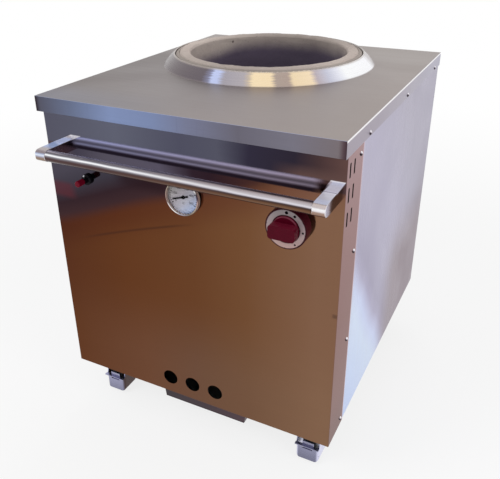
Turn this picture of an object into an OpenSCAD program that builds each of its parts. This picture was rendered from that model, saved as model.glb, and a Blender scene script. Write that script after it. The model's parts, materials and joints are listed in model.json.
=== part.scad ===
// Gas-fired clay tandoor oven: a stainless cabinet on castors round a clay pot.
// Millimetres, +Z up. The floor is z = 0 and the origin is under the middle of the whole oven.
// The front, with the handle and the controls, looks along -Y.

/* [Cabinet] */
// Width over the top cover's side flanges
body_w = 700; // [660:10:760]
// Depth from the front panel's face to the rear edge of the top cover
body_d = 788; // [760:4:860]
// Height of the cabinet from its underside to the top surface
body_h = 721; // [700:1:780]
// Thickness of the stainless sheet
sheet = 1.5; // [1:0.25:2]
// Height of the top cover's turned-down edges
lip_h = 34; // [26:1:42]
// How far the cover's front lip stands in front of the front panel
lip_over = 18; // [12:1:26]
// Depth of the front panel's returns round the two front corners
wrap_d = 95; // [80:1:120]
// How far the returns lap over the side panels
wrap_lap = 30; // [22:1:40]
// Thickness of the base plate
base_t = 2; // [1.5:0.5:4]
// Outer size of the frame's square tube
frame_s = 30; // [28:1:33]
// Wall of the frame's square tube
tube_wall = 2; // [1.5:0.5:3]

/* [Vents and air holes] */
// Height of a vent slot in a return
slot_h = 29; // [20:0.5:34]
// Width of a vent slot
slot_w = 7.5; // [4:0.5:9]
// Distance between the slots of one column
slot_pitch = 49; // [40:1:56]
// Distance from the front corner to the first column of slots
slot_first = 16; // [14:1:26]
// Distance between the two columns of slots
slot_step = 25; // [16:1:30]
// Distance from the top surface to the upper end of the first slots
slot_drop = 51; // [48:0.5:70]
// Diameter of the three air holes at the foot of the front panel
air_hole_d = 39; // [30:1:44]
// Distance between the air holes
air_hole_pitch = 62; // [52:1:80]
// Height of the air holes above the underside of the cabinet
air_hole_up = 45; // [30:1:60]
// Width of a vent slot in the rear panel
rear_slot_w = 90; // [60:5:110]

/* [Screws] */
// Diameter of the panel screws' shanks
screw_d = 5; // [4:0.5:6]
// Diameter of their domed heads
screw_head_d = 10; // [8:0.5:12]
// Length of the shanks
screw_l = 10; // [8:1:14]
// Distance of the cover's side screws below the top surface
flange_screw_drop = 27.5; // [18:0.5:28]
// Distance from the front panel to the first of the cover's side screws
flange_screw_first = 124; // [115:1:160]
// Distance from the rear edge to the last of the cover's side screws
flange_screw_last = 70; // [30:1:80]
// Distance of the return's screws from its rear edge
wrap_screw_in = 17; // [12:1:20]
// Depth of the return's four screws below the top surface, as shares of the cabinet's height
wrap_screw_share = [0.075, 0.361, 0.662, 0.974]; // [0.07:0.001:0.98]

/* [Pot and collar] */
// Distance of the pot's axis to the left of the cabinet's middle
pot_left = 33; // [0:1:40]
// Distance of the pot's axis from the rear edge
pot_back = 289; // [288:1:310]
// Height of the pot
pot_h = 600; // [540:5:620]
// Height of the pot's rim above the top surface
rim_up = 31.5; // [28:0.5:45]
// Inner radius of the mouth
mouth_r = 201; // [170:1:205]
// Outer radius of the pot's neck
neck_r = 229; // [222:1:231]
// Inner radius of the pot's belly
belly_in_r = 222; // [215:1:226]
// Outer radius of the pot's belly
belly_r = 252; // [246:1:256]
// Inner radius at the pot's floor
foot_in_r = 165; // [150:1:175]
// Outer radius at the pot's foot
foot_r = 204; // [195:1:215]
// Thickness of the pot's floor
pot_floor = 35; // [25:1:45]
// Radius of the flame hole in the pot's floor
flame_hole_r = 95; // [80:1:105]
// Radius of the collar where it stands on the top cover
collar_base_r = 270.5; // [262:0.5:280]
// Radius of the collar's upper lip
collar_top_r = 244; // [243:0.5:252]
// Height of the collar
collar_h = 27.8; // [22:0.1:32]
// Radius of the rolled bead round the collar's lip
collar_bead_r = 2; // [1.5:0.25:2.5]
// Depth of the collar's inner skirt below the top surface
skirt_d = 14; // [10:1:18]
// Width of the open groove between the mortar and the collar
groove_w = 1.5; // [1:0.5:4]
// Outer radius of the drum that holds the insulation
drum_r = 282; // [274:1:283]

/* [Handle] */
// Diameter of the handle bar
bar_d = 25.4; // [22:0.2:32]
// Wall of the bar's tube
bar_wall = 1.5; // [1:0.5:2.5]
// Distance from the front panel to the middle of the bar
handle_out = 48; // [46:1:75]
// Distance from the top surface to the middle of the bar
handle_drop = 120.5; // [95:0.5:125]
// Distance between the inner faces of the two brackets
handle_span = 610; // [560:5:620]
// Width of a bracket
bracket_w = 27; // [20:0.5:30]
// Height of a bracket
bracket_h = 26.5; // [26:0.5:34]
// Diameter of the bracket bolts
bracket_bolt_d = 8; // [6:1:10]
// Depth of the threaded bore in a bracket
bracket_bore = 25; // [20:1:30]
// Length of the spigot in each end of the bar
spigot_l = 15; // [10:1:20]

/* [Thermometer] */
// Diameter of the bezel
gauge_d = 79.5; // [70:0.5:84]
// How far the bezel stands out
gauge_out = 12; // [10:0.5:15]
// Distance of its axis to the right of the cabinet's middle
gauge_x = 6; // [-20:1:20]
// Distance of its axis below the top surface
gauge_drop = 176; // [172:1:190]
// Diameter of the stem
stem_d = 6; // [5:0.5:8]
// How far the stem's tip reaches into the pot
stem_dip = 12; // [6:1:20]

/* [Gas control] */
// Distance of the knob's axis from the cabinet's right side
knob_edge = 107; // [96:1:125]
// Distance of the knob's axis below the top surface
knob_drop = 188; // [184:1:200]
// Diameter of the fixed housing round the knob
housing_d = 86; // [80:1:92]
// How far the housing stands out
housing_out = 24; // [20:0.5:28]
// Diameter of the knob's disc
knob_d = 55; // [50:1:58]
// Width of the knob's grip
grip_w = 28; // [20:0.5:30]
// Height of the knob's grip over its disc
grip_h = 19; // [12:0.5:22]
// Reach of each end of the grip from the knob's axis
grip_reach = 27.5; // [24:0.5:28]
// How far the knob pushes in to hold the pilot
knob_push = 3.5; // [2.5:0.5:4]
// Diameter of the valve spindle
spindle_d = 8; // [6:0.5:10]
// Outer diameter of the gas pipes
pipe_d = 14; // [12:1:16]

/* [Igniter] */
// Distance of the igniter's axis from the cabinet's left side
igniter_edge = 104; // [90:1:125]
// Distance of its axis below the top surface
igniter_drop = 182; // [178:1:195]
// Diameter of the bezel
igniter_d = 25; // [24:0.5:30]
// How far the bezel stands out
igniter_out = 9; // [6:0.5:11]
// Diameter of the push button
button_d = 14; // [12:0.5:16]
// How far the button's end stands out from the panel
button_out = 37; // [32:0.5:42]
// Travel of the button
button_travel = 10; // [6:0.5:12]

/* [Ash tray] */
// Width of the tray across its floor
tray_w = 228; // [200:2:240]
// Depth of the tray
tray_deep = 70; // [50:1:74]
// How much each side leans out from the floor to the flange
tray_flare = 10; // [4:1:14]
// Distance of the tray behind the front panel
tray_back = 49; // [20:1:80]
// Length of the tray
tray_l = 560; // [520:5:580]

/* [Castors] */
// Height from the floor to the underside of the cabinet
caster_h = 125; // [121:1:135]
// Diameter of the wheels
wheel_d = 100; // [96:1:102]
// Width of the tread
wheel_w = 32; // [28:1:34]
// Distance from the swivel axis to the axle
trail = 35; // [30:1:40]
// Distance of the front swivel axes behind the front panel
caster_front = 142; // [140:1:160]
// Distance of the rear swivel axes from the rear edge
caster_rear = 80; // [70:1:100]
// Outer width of the brake pedal
pedal_w = 58; // [57:0.5:62]
// Thickness of the pedal's pressed steel
pedal_t = 2.5; // [2:0.25:3]

/* [Hidden] */
$fn = 96;

// Clearances
gap = 0.3;          // between pieces that move past or stand beside each other
fit = 0.05;         // radial clearance of a pin, a shaft or a spigot in its bore
hole_play = 0.2;    // radial clearance of a screw in a sheet
eps = 0.01;         // overrun of a cut

// Levels
z_base = caster_h;
z_top = z_base + body_h;
z_under = z_top - sheet;
z_floor = z_base + base_t;
z_rail = z_floor + frame_s;
z_rim = z_top + rim_up;
z_pot = z_rim - pot_h;

// Plan
bar_r = bar_d / 2;
front_reach = handle_out + bracket_h / 2;
inlet_reach = 22;
front_y = (front_reach - inlet_reach - body_d) / 2;
rear_y = front_y + body_d;
lip_y = front_y - lip_over;
wrap_x = body_w / 2 - sheet;
side_x = wrap_x - sheet;
inner_x = side_x - sheet;
rear_face = rear_y - sheet;
rear_in = rear_face - 2 * sheet;
rear_return_w = 25;
rear_screw_in = 12;
pot_x = -pot_left;
pot_y = rear_y - pot_back;

// Collar and drum
collar_t = 1.5;
skirt_in_r = collar_top_r - 2 * collar_bead_r;
cover_hole_r = skirt_in_r + collar_t + 1;
drum_t = 2;
drum_top = z_under - frame_s - sheet;
stand_t = 4;
stand_leg_off = 144;
stand_leg_s = 25;
bulkhead_y = pot_y - drum_r - 10;

// Burner
burner_r = 62;
burner_t = 20;
burner_z = z_pot - 52;
bracket_bar_w = 40;
bracket_foot_off = 125;
tray_hole_r = 100;
pilot_x = pot_x + 75;
pilot_pitch = 13;
line_r = 2.5;
line_z = burner_z;
baffle_r = 115;
baffle_t = 8;
baffle_up = 45;

// Gas control, measured outwards from the front panel
knob_x = body_w / 2 - knob_edge;
valve_w = 46;
valve_h = 40;
valve_front = 8;
valve_back = 58;
valve_port = 35;
plug_r = 9;
plug_near = 16;
plug_far = 46;
housing_wall = 2.5;
dial_t = 0.8;
dial_in_r = housing_d / 2 - 13.5;
dial_out_r = housing_d / 2 - 2;
housing_hole_r = knob_d / 2 + 1;
disc_back = 12;
disc_front = housing_out + knob_push + 2 * gap;
pipe_r = pipe_d / 2;
supply_x = body_w / 2 - 60;
supply_z = z_base + 75;
inlet_r = 9.3;
inlet_depth = 15;

// Levels of the controls
z_handle = z_top - handle_drop;
z_gauge = z_top - gauge_drop;
z_knob = z_top - knob_drop;
z_igniter = z_top - igniter_drop;
z_air = z_base + air_hole_up;

// Thermometer, measured outwards from the front panel
bushing_r = 6.5;
bushing_l = 14;
gauge_wall = 1.2;
bezel_in_r = gauge_d / 2 - 4;
dial_plate_r = gauge_d / 2 - gauge_wall - gap;
dial_at = 3;
needle_at = 4.3;
lens_at = gauge_out - 6;
lens_t = 1.5;
arbor_r = 0.8;

// Igniter, measured outwards from the front panel
barrel_r = 11;
barrel_l = 45;
button_in = 8;
igniter_x = igniter_edge - body_w / 2;
nut_t = 6;

// Ash tray and runners
tray_t = 1.5;
tray_flange = 12;
tray_top = z_base - 3;
tray_z = tray_top - tray_deep;
tray_half = tray_w / 2 + tray_flare;
tray_front = front_y + tray_back;
runner_t = 1.5;
runner_lip = 8;

// Castors
wheel_r = wheel_d / 2;
axle_r = 6;
axle_y = -trail;
plate_t = 3;
plate_half = [40, 52];
caster_bolt_off = [26, 40];
caster_bolt_r = 4;
caster_nut_r = caster_bolt_r + 3;
race_r = 30;
race_h = 10.5;
crown_r = 32;
crown_t = 7;
z_race = caster_h - plate_t - race_h;
z_crown = z_race - gap - crown_t;
kingpin_r = 6;
leg_in = wheel_w / 2 + 2;
leg_t = 3;
leg_out = leg_in + leg_t;
pivot_r = 4;
pivot_y = axle_y - 37;
pivot_z = wheel_r + 44;
pedal_in = pedal_w / 2 - pedal_t;
hood_back_y = axle_y - wheel_r - 5.5;
hood_front_y = hood_back_y - pedal_t;
hood_len = 50;
hood_low = 9;
hood_high = 51;
hood_corner = 10;
ledge_out = 5;
shoe_w = 20;
hub_r = 32;
caster_x = inner_x - frame_s - caster_nut_r - 0.5 - caster_bolt_off[0];
front_caster_y = front_y + caster_front;
rear_caster_y = rear_y - caster_rear;

// ---------------------------------------------------------------- helpers

// Cylinders that run along +X and along +Y from the origin
module x_rod(r, l) {
    rotate([0, 90, 0]) cylinder(r = r, h = l);
}
module y_rod(r, l) {
    rotate([-90, 0, 0]) cylinder(r = r, h = l);
}

// A place on the front panel: local X is right, local Y is up and local Z points out of the panel
module on_front(x, z) {
    translate([x, front_y, z]) rotate([90, 0, 0]) children();
}

// A rectangle with rounded corners, centred
module round_rect(w, d, r) {
    square([w - 2 * r, d], center = true);
    square([w, d - 2 * r], center = true);
    for (sx = [-1, 1], sy = [-1, 1]) {
        translate([sx * (w / 2 - r), sy * (d / 2 - r)]) circle(r);
    }
}

// A punched slot with slightly rounded corners, upright and centred
module slot_shape(w, h) {
    round_rect(w, h, 1);
}

// A square tube along +X or +Z from the origin, centred on the other two axes
module tube_x(s, l) {
    rotate([0, 90, 0]) tube_z(s, l);
}
module tube_z(s, l) {
    linear_extrude(l) difference() {
        square(s, center = true);
        square(s - 2 * tube_wall, center = true);
    }
}
module tube_y(s, l) {
    rotate([-90, 0, 0]) tube_z(s, l);
}

// A pipe through a list of points, with a round elbow at each bend
module pipe_run(points, r) {
    for (i = [0 : len(points) - 2]) {
        d = points[i + 1] - points[i];
        l = norm(d);
        translate(points[i]) rotate([0, acos(d[2] / l), atan2(d[1], d[0])]) cylinder(r = r, h = l, $fn = 32);
    }
    for (i = [1 : len(points) - 2]) translate(points[i]) sphere(r = r, $fn = 32);
}

// A domed screw along -Z, with its head above z = 0
module dome_screw(l) {
    head_r = screw_head_d / 2;
    head_h = 0.3 * screw_head_d;
    ball_r = (head_r * head_r + head_h * head_h) / (2 * head_h);
    intersection() {
        translate([0, 0, head_h - ball_r]) sphere(r = ball_r, $fn = 48);
        cylinder(r = head_r, h = head_h, $fn = 32);
    }
    translate([0, 0, -l]) cylinder(d = screw_d, h = l + eps, $fn = 24);
}

// ---------------------------------------------------------------- screws and their holes

wrap_screw_y = front_y + wrap_d - wrap_screw_in;
wrap_screw_z = [for (share = wrap_screw_share) z_top - share * body_h];
flange_screw_pitch = (body_d - flange_screw_first - flange_screw_last) / 2;
flange_screw_y = [for (i = [0 : 2]) front_y + flange_screw_first + i * flange_screw_pitch];
z_flange_screw = z_top - flange_screw_drop;
rear_screw_x = side_x - rear_screw_in;

// The side screws on one side: s is 1 on the right and -1 on the left
module at_flange_screws(s, x) {
    for (y = flange_screw_y) translate([s * x, y, z_flange_screw]) rotate([0, s * 90, 0]) children();
}
module at_wrap_screws(s, x) {
    for (z = wrap_screw_z) translate([s * x, wrap_screw_y, z]) rotate([0, s * 90, 0]) children();
}
module at_rear_screws() {
    for (s = [-1, 1], z = wrap_screw_z) {
        translate([s * rear_screw_x, rear_face, z]) rotate([-90, 0, 0]) children();
    }
}
module screw_hole() {
    translate([0, 0, -screw_l - 1]) cylinder(d = screw_d + 2 * hole_play, h = screw_l + 2, $fn = 24);
}

module panel_screws() {
    color("silver") {
        for (s = [-1, 1]) {
            at_flange_screws(s, body_w / 2) dome_screw(screw_l);
            at_wrap_screws(s, wrap_x) dome_screw(screw_l);
        }
        at_rear_screws() dome_screw(screw_l);
    }
}

// ---------------------------------------------------------------- cabinet

module top_cover() {
    depth = body_d + lip_over;
    color([0.66, 0.64, 0.63]) difference() {
        union() {
            translate([-body_w / 2, lip_y, z_under]) cube([body_w, depth, sheet]);
            translate([-body_w / 2, lip_y, z_top - lip_h]) cube([body_w, sheet, lip_h]);
            translate([-body_w / 2, lip_y, z_top - lip_h]) cube([body_w, lip_over, sheet]);
            translate([-body_w / 2, rear_y - sheet, z_top - lip_h]) cube([body_w, sheet, lip_h]);
            for (s = [0, 1]) mirror([s, 0, 0]) {
                translate([wrap_x, lip_y, z_top - lip_h]) cube([sheet, depth, lip_h]);
            }
        }
        translate([pot_x, pot_y, z_under - eps]) cylinder(r = cover_hole_r, h = sheet + 2 * eps);
        for (s = [-1, 1]) at_flange_screws(s, body_w / 2) screw_hole();
    }
}

module wrap_slots() {
    for (col = [0, 1], row = [0 : 2]) {
        y = front_y + slot_first + col * slot_step;
        z = z_top - slot_drop - slot_h / 2 - row * slot_pitch;
        translate([-body_w, y, z]) rotate([90, 0, 90]) linear_extrude(2 * body_w) slot_shape(slot_w, slot_h);
    }
}

module front_panel() {
    h = z_under - z_base;
    color([0.50, 0.36, 0.27]) difference() {
        union() {
            translate([-wrap_x, front_y, z_base]) cube([2 * wrap_x, sheet, h]);
            for (s = [0, 1]) mirror([s, 0, 0]) {
                translate([side_x, front_y, z_base]) cube([sheet, wrap_d, h]);
            }
        }
        wrap_slots();
        for (s = [-1, 1]) at_wrap_screws(s, wrap_x) screw_hole();
        for (i = [-1 : 1]) on_front(i * air_hole_pitch, z_air) panel_hole(air_hole_d / 2);
        for (s = [-1, 1]) on_front(s * (handle_span + bracket_w) / 2, z_handle) {
            panel_hole(bracket_bolt_d / 2 + hole_play);
        }
        on_front(gauge_x, z_gauge) panel_hole(bushing_r + hole_play);
        on_front(knob_x, z_knob) panel_hole(spindle_d / 2 + 2);
        on_front(igniter_x, z_igniter) panel_hole(barrel_r + hole_play);
    }
}
module panel_hole(r) {
    translate([0, 0, -sheet - eps]) cylinder(r = r, h = sheet + 2 * eps);
}

// One side panel, drawn on the right: it tucks under the return in front and turns in at the rear
module side_panel() {
    start = front_y + wrap_d - wrap_lap;
    difference() {
        translate([0, 0, z_base]) linear_extrude(z_under - z_base) {
            translate([inner_x, start]) square([sheet, rear_in + sheet - start]);
            translate([side_x - rear_return_w, rear_in]) square([rear_return_w, sheet]);
        }
        at_wrap_screws(1, wrap_x) screw_hole();
        at_flange_screws(1, body_w / 2) screw_hole();
        at_rear_screws() screw_hole();
    }
}
module side_panel_right() {
    color([0.74, 0.73, 0.77]) side_panel();
}
module side_panel_left() {
    color([0.74, 0.73, 0.77]) mirror([1, 0, 0]) side_panel();
}

module rear_panel() {
    color([0.70, 0.70, 0.72]) difference() {
        translate([-side_x, rear_face - sheet, z_base]) cube([2 * side_x, sheet, z_under - z_base]);
        for (s = [-1, 1], row = [0 : 4]) {
            translate([s * 0.25 * body_w, rear_face + eps, z_base + 60 + row * 18]) {
                rotate([90, 90, 0]) linear_extrude(sheet + 2 * eps) slot_shape(slot_w, rear_slot_w);
            }
        }
        translate([supply_x, rear_face + eps, supply_z]) rotate([90, 0, 0]) {
            cylinder(r = inlet_r + 4 + hole_play, h = sheet + 2 * eps);
        }
        at_rear_screws() screw_hole();
    }
}

module base_plate() {
    color([0.62, 0.62, 0.64]) difference() {
        translate([-inner_x, front_y + sheet, z_base]) cube([2 * inner_x, rear_in - front_y - sheet, base_t]);
        translate([pot_x, pot_y, z_base - eps]) cylinder(r = tray_hole_r, h = base_t + 2 * eps);
        at_caster_bolts() translate([0, 0, z_base - eps]) {
            cylinder(r = caster_bolt_r + hole_play, h = base_t + 2 * eps, $fn = 24);
        }
    }
}

module frame_screw_holes() {
    for (s = [-1, 1]) {
        at_flange_screws(s, body_w / 2) screw_hole();
        at_wrap_screws(s, wrap_x) screw_hole();
    }
    at_rear_screws() screw_hole();
}

// Two rails along the sides and two across, under the pot's stand
module base_rails() {
    y0 = front_y + sheet;
    mid = z_floor + frame_s / 2;
    color([0.5, 0.5, 0.52]) difference() {
        for (s = [-1, 1]) {
            translate([s * (inner_x - frame_s / 2), y0, mid]) tube_y(frame_s, rear_in - y0);
            translate([-(inner_x - frame_s), pot_y + s * stand_leg_off, mid]) {
                tube_x(frame_s, 2 * (inner_x - frame_s));
            }
        }
        frame_screw_holes();
    }
}

// Four posts on the side rails, behind the laps and in the rear corners, and the rails under the cover
module upper_frame() {
    y0 = front_y + sheet;
    y_post = front_y + wrap_d - frame_s / 2;
    y_rear = rear_in - frame_s / 2;
    x_post = inner_x - frame_s / 2;
    mid = z_under - frame_s / 2;
    color([0.5, 0.5, 0.52]) difference() {
        union() {
            for (s = [-1, 1]) {
                for (y = [y_post, y_rear]) {
                    translate([s * x_post, y, z_rail]) tube_z(frame_s, z_under - frame_s - z_rail);
                }
                translate([s * x_post, y0, mid]) tube_y(frame_s, rear_in - y0);
            }
            translate([frame_s - inner_x, y0 + frame_s / 2, mid]) tube_x(frame_s, 2 * (inner_x - frame_s));
        }
        frame_screw_holes();
    }
}

// The sheet between the control space and the hot space, notched round the four side rails
module bulkhead() {
    half = inner_x - frame_s;
    color([0.64, 0.64, 0.66]) difference() {
        union() {
            translate([-half, bulkhead_y, z_floor]) cube([2 * half, sheet, z_under - z_floor]);
            translate([-inner_x, bulkhead_y, z_rail]) cube([2 * inner_x, sheet, z_under - frame_s - z_rail]);
        }
        translate([gauge_x, bulkhead_y - eps, z_gauge]) y_rod(stem_d / 2 + 1, sheet + 2 * eps);
        translate([pot_x, bulkhead_y - eps, burner_z]) y_rod(pipe_r + 2, sheet + 2 * eps);
        translate([supply_x, bulkhead_y - eps, supply_z]) y_rod(pipe_r + 2, sheet + 2 * eps);
        for (i = [0 : 2]) {
            translate([pilot_x + i * pilot_pitch, bulkhead_y - eps, line_z]) {
                y_rod(line_r + 1, sheet + 2 * eps);
            }
        }
    }
}

// ---------------------------------------------------------------- pot, collar and insulation

// Radius at a share t of the pot's height, counted from the rim, for a neck, a belly and a foot
function pot_curve(t, neck, belly, foot) =
    t < 0.5 ? neck + (belly - neck) * sin(180 * t) : foot + (belly - foot) * sin(180 * t);
function pot_outer(z) = pot_curve((z_rim - z) / pot_h, neck_r, belly_r, foot_r);
function pot_inner(z) = pot_curve((z_rim - z) / pot_h, mouth_r, belly_in_r, foot_in_r);

pot_steps = 20;
rim_round = 7;
function pot_level(i, low, high) = low + (high - low) * i / pot_steps;

module at_pot() {
    translate([pot_x, pot_y, 0]) children();
}

// The thermometer's stem passes through every layer round the pot
module stem_hole(clear) {
    translate([gauge_x - pot_x, front_y - pot_y, z_gauge]) y_rod(stem_d / 2 + clear, pot_y - front_y);
}

module clay_pot() {
    inner_top = z_rim - rim_round;
    floor_z = z_pot + pot_floor;
    color([0.60, 0.55, 0.50]) at_pot() difference() {
        rotate_extrude($fn = 128) polygon(concat(
            [for (i = [0 : pot_steps]) let (z = pot_level(i, z_pot, z_rim - 3)) [pot_outer(z), z]],
            [[neck_r - 3, z_rim]],
            [for (a = [90 : 15 : 180])
                [mouth_r + rim_round * (1 + cos(a)), z_rim - rim_round * (1 - sin(a))]],
            [for (i = [pot_steps - 1 : -1 : 0]) let (z = pot_level(i, floor_z, inner_top)) [pot_inner(z), z]],
            [[flame_hole_r + 8, floor_z], [flame_hole_r, floor_z - 8], [flame_hole_r, z_pot]]
        ));
        stem_hole(1);
    }
}

// Clay mortar that fills the joint between the pot's neck and the collar
module mortar_ring() {
    low = z_top - skirt_d;
    high = z_rim - 3;
    shoulder = z_top + collar_h - 1;
    out_r = skirt_in_r - groove_w;
    color([0.66, 0.61, 0.57]) at_pot() rotate_extrude($fn = 128) polygon(concat(
        [for (i = [0 : 4]) let (z = low + (high - low) * i / 4) [pot_outer(z) + gap, z]],
        [[out_r - 2, shoulder], [out_r, shoulder - 2], [out_r, low]]
    ));
}

// A spun collar: a slightly bellied cone, a rolled bead and a skirt that locates it in the cover
module collar() {
    bead_z = z_top + collar_h - collar_bead_r;
    bead_x = collar_top_r - collar_bead_r;
    steps = 6;
    belly = 1.6;
    rise = collar_h - collar_bead_r;
    run = collar_base_r - collar_top_r;
    color([0.82, 0.82, 0.84]) at_pot() rotate_extrude($fn = 128) {
        polygon(concat(
            [for (i = [0 : steps]) let (t = i / steps)
                [collar_base_r - run * t + belly * sin(180 * t), z_top + rise * t]],
            [for (i = [steps : -1 : 0]) let (t = i / steps)
                [collar_base_r - run * t + belly * sin(180 * t) - collar_t - 0.6, z_top + rise * t]]
        ));
        translate([bead_x, bead_z]) circle(collar_bead_r, $fn = 32);
        translate([skirt_in_r, z_top - skirt_d]) square([collar_t, collar_h + skirt_d - collar_bead_r]);
    }
}

module insulation() {
    low = z_pot + gap;
    high = z_top - skirt_d - 3;
    steps = 12;
    color([0.86, 0.84, 0.78]) at_pot() difference() {
        rotate_extrude() polygon(concat(
            [for (i = [0 : steps]) let (z = low + (high - low) * i / steps) [pot_outer(z) + 1, z]],
            [[drum_r - drum_t - gap, high], [drum_r - drum_t - gap, low]]
        ));
        stem_hole(1);
    }
}

module pot_drum() {
    color([0.68, 0.68, 0.70]) at_pot() difference() {
        translate([0, 0, z_pot]) cylinder(r = drum_r, h = drum_top - z_pot);
        translate([0, 0, z_pot - eps]) cylinder(r = drum_r - drum_t, h = drum_top - z_pot + 2 * eps);
        stem_hole(1);
    }
}

// The ring plate that carries the pot and the drum, on four legs
module pot_stand() {
    leg_z = z_rail;
    color([0.48, 0.48, 0.50]) at_pot() {
        translate([0, 0, z_pot - stand_t]) linear_extrude(stand_t) difference() {
            circle(drum_r);
            circle(flame_hole_r + 15);
        }
        for (sx = [-1, 1], sy = [-1, 1]) {
            translate([sx * stand_leg_off, sy * stand_leg_off, leg_z]) {
                tube_z(stand_leg_s, z_pot - stand_t - leg_z);
            }
        }
    }
}

// Cast plate over the flame hole, on three feet
module baffle_plate() {
    foot_z = z_pot + pot_floor;
    color([0.25, 0.24, 0.24]) at_pot() {
        translate([0, 0, foot_z + baffle_up]) cylinder(r = baffle_r, h = baffle_t);
        for (a = [30 : 120 : 270]) rotate([0, 0, a]) {
            translate([baffle_r - 10, 0, foot_z]) cylinder(r = 6, h = baffle_up + 1, $fn = 24);
        }
    }
}

// ---------------------------------------------------------------- handle

module handle_bar() {
    color([0.85, 0.85, 0.87]) translate([-handle_span / 2, front_y - handle_out, z_handle]) difference() {
        x_rod(bar_r, handle_span);
        translate([-eps, 0, 0]) x_rod(bar_r - bar_wall, handle_span + 2 * eps);
    }
}

// A cast bracket on the right: square behind, full round in front, with a spigot for the bar
module handle_bracket() {
    r = bracket_h / 2;
    nose_round = 3;
    translate([handle_span / 2, front_y, z_handle]) difference() {
        union() {
            intersection() {
                rotate([90, 0, 90]) linear_extrude(bracket_w) {
                    translate([-handle_out, 0]) circle(r);
                    translate([-handle_out, -r]) square([handle_out, bracket_h]);
                }
                translate([bracket_w / 2, 0, -r - eps]) linear_extrude(bracket_h + 2 * eps) {
                    translate([0, -(handle_out + r) / 2]) round_rect(bracket_w, handle_out + r, nose_round);
                    translate([-bracket_w / 2, -handle_out]) square([bracket_w, handle_out]);
                }
            }
            translate([-spigot_l, -handle_out, 0]) x_rod(bar_r - bar_wall - fit, spigot_l + 1);
        }
        translate([bracket_w / 2, -bracket_bore, 0]) y_rod(bracket_bolt_d / 2, bracket_bore + eps);
    }
}
module handle_bracket_right() {
    color([0.78, 0.78, 0.80]) handle_bracket();
}
module handle_bracket_left() {
    color([0.78, 0.78, 0.80]) mirror([1, 0, 0]) handle_bracket();
}

module handle_bolts() {
    head_h = 0.65 * bracket_bolt_d;
    color("silver") for (s = [-1, 1]) {
        on_front(s * (handle_span + bracket_w) / 2, z_handle) translate([0, 0, -sheet - head_h]) {
            cylinder(r = 0.85 * bracket_bolt_d, h = head_h, $fn = 6);
            cylinder(r = bracket_bolt_d / 2 - fit, h = sheet + head_h + bracket_bore - 1);
        }
    }
}

// ---------------------------------------------------------------- thermometer

module thermometer_case() {
    r = gauge_d / 2;
    bead = 2;
    color([0.86, 0.86, 0.88]) on_front(gauge_x, z_gauge) difference() {
        rotate_extrude() {
            polygon([
                [0, 0], [r - 3, 0], [r, 3], [r, gauge_out - bead], [r - bead, gauge_out],
                [bezel_in_r, gauge_out - 1.5], [bezel_in_r, lens_at + lens_t + gap],
                [r - gauge_wall, lens_at + lens_t + gap], [r - gauge_wall, dial_at - gap],
                [0, dial_at - gap]
            ]);
            translate([r - bead, gauge_out - bead]) circle(bead, $fn = 24);
        }
        translate([0, 0, -eps]) cylinder(r = stem_d / 2 + fit, h = dial_at);
    }
}

module thermometer_dial() {
    color([0.93, 0.93, 0.92]) on_front(gauge_x, z_gauge) translate([0, 0, dial_at]) difference() {
        cylinder(r = dial_plate_r, h = 0.8);
        translate([0, 0, -eps]) cylinder(r = arbor_r + 0.4, h = 1, $fn = 24);
    }
}

// The pointer: a long tip, a boss and a short tail, on a thin arbor
module thermometer_needle() {
    tip = 0.68 * bezel_in_r;
    tail = 0.34 * bezel_in_r;
    color([0.08, 0.08, 0.09]) on_front(gauge_x, z_gauge) {
        translate([0, 0, needle_at]) {
            linear_extrude(0.6) {
                polygon([[0, -1.6], [tail, -1.3], [tail, 1.3], [0, 1.6], [-tip, 0.4], [-tip, -0.4]]);
            }
            cylinder(r = 4, h = 1.2, $fn = 32);
        }
        translate([0, 0, dial_at - gap / 2]) cylinder(r = arbor_r, h = needle_at - dial_at + 1, $fn = 24);
    }
}

module thermometer_lens() {
    color([0.8, 0.85, 0.88, 0.35]) on_front(gauge_x, z_gauge) translate([0, 0, lens_at]) {
        cylinder(r = gauge_d / 2 - gauge_wall - fit, h = lens_t);
    }
}

// The bimetal stem, with the threaded bushing that passes through the panel
module thermometer_stem() {
    pot_face = sqrt(pow(pot_inner(z_gauge), 2) - pow(gauge_x - pot_x, 2));
    reach = pot_y - pot_face + stem_dip - front_y;
    color([0.78, 0.78, 0.80]) on_front(gauge_x, z_gauge) {
        translate([0, 0, -reach]) cylinder(r = stem_d / 2, h = reach + 2.5, $fn = 32);
        translate([0, 0, -bushing_l]) cylinder(r = bushing_r, h = bushing_l, $fn = 48);
    }
}

module locknuts() {
    color([0.6, 0.58, 0.5]) {
        on_front(gauge_x, z_gauge) locknut(bushing_r, 11);
        on_front(igniter_x, z_igniter) locknut(barrel_r, 16);
    }
}
module locknut(r, out_r) {
    translate([0, 0, -sheet - nut_t]) linear_extrude(nut_t) difference() {
        circle(out_r, $fn = 6);
        circle(r + fit);
    }
}

// ---------------------------------------------------------------- gas control

module knob_housing() {
    r = housing_d / 2;
    edge = 1.5;
    color([0.42, 0.05, 0.10]) on_front(knob_x, z_knob) rotate_extrude() polygon([
        [r - housing_wall, 0], [r, 0], [r, housing_out - edge], [r - edge, housing_out],
        [dial_out_r, housing_out], [dial_out_r, housing_out - dial_t], [dial_in_r, housing_out - dial_t],
        [dial_in_r, housing_out], [housing_hole_r, housing_out], [housing_hole_r, housing_out - housing_wall],
        [r - housing_wall, housing_out - housing_wall]
    ]);
}

module dial_ring() {
    color([0.75, 0.72, 0.72]) on_front(knob_x, z_knob) translate([0, 0, housing_out - dial_t]) {
        linear_extrude(dial_t) difference() {
            circle(dial_out_r - fit);
            circle(dial_in_r + fit);
        }
    }
}

// The spindle's section: round with one flat
module spindle_shape(r) {
    difference() {
        circle(r, $fn = 48);
        translate([-r, 0.6 * r]) square([2 * r, r]);
    }
}

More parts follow.
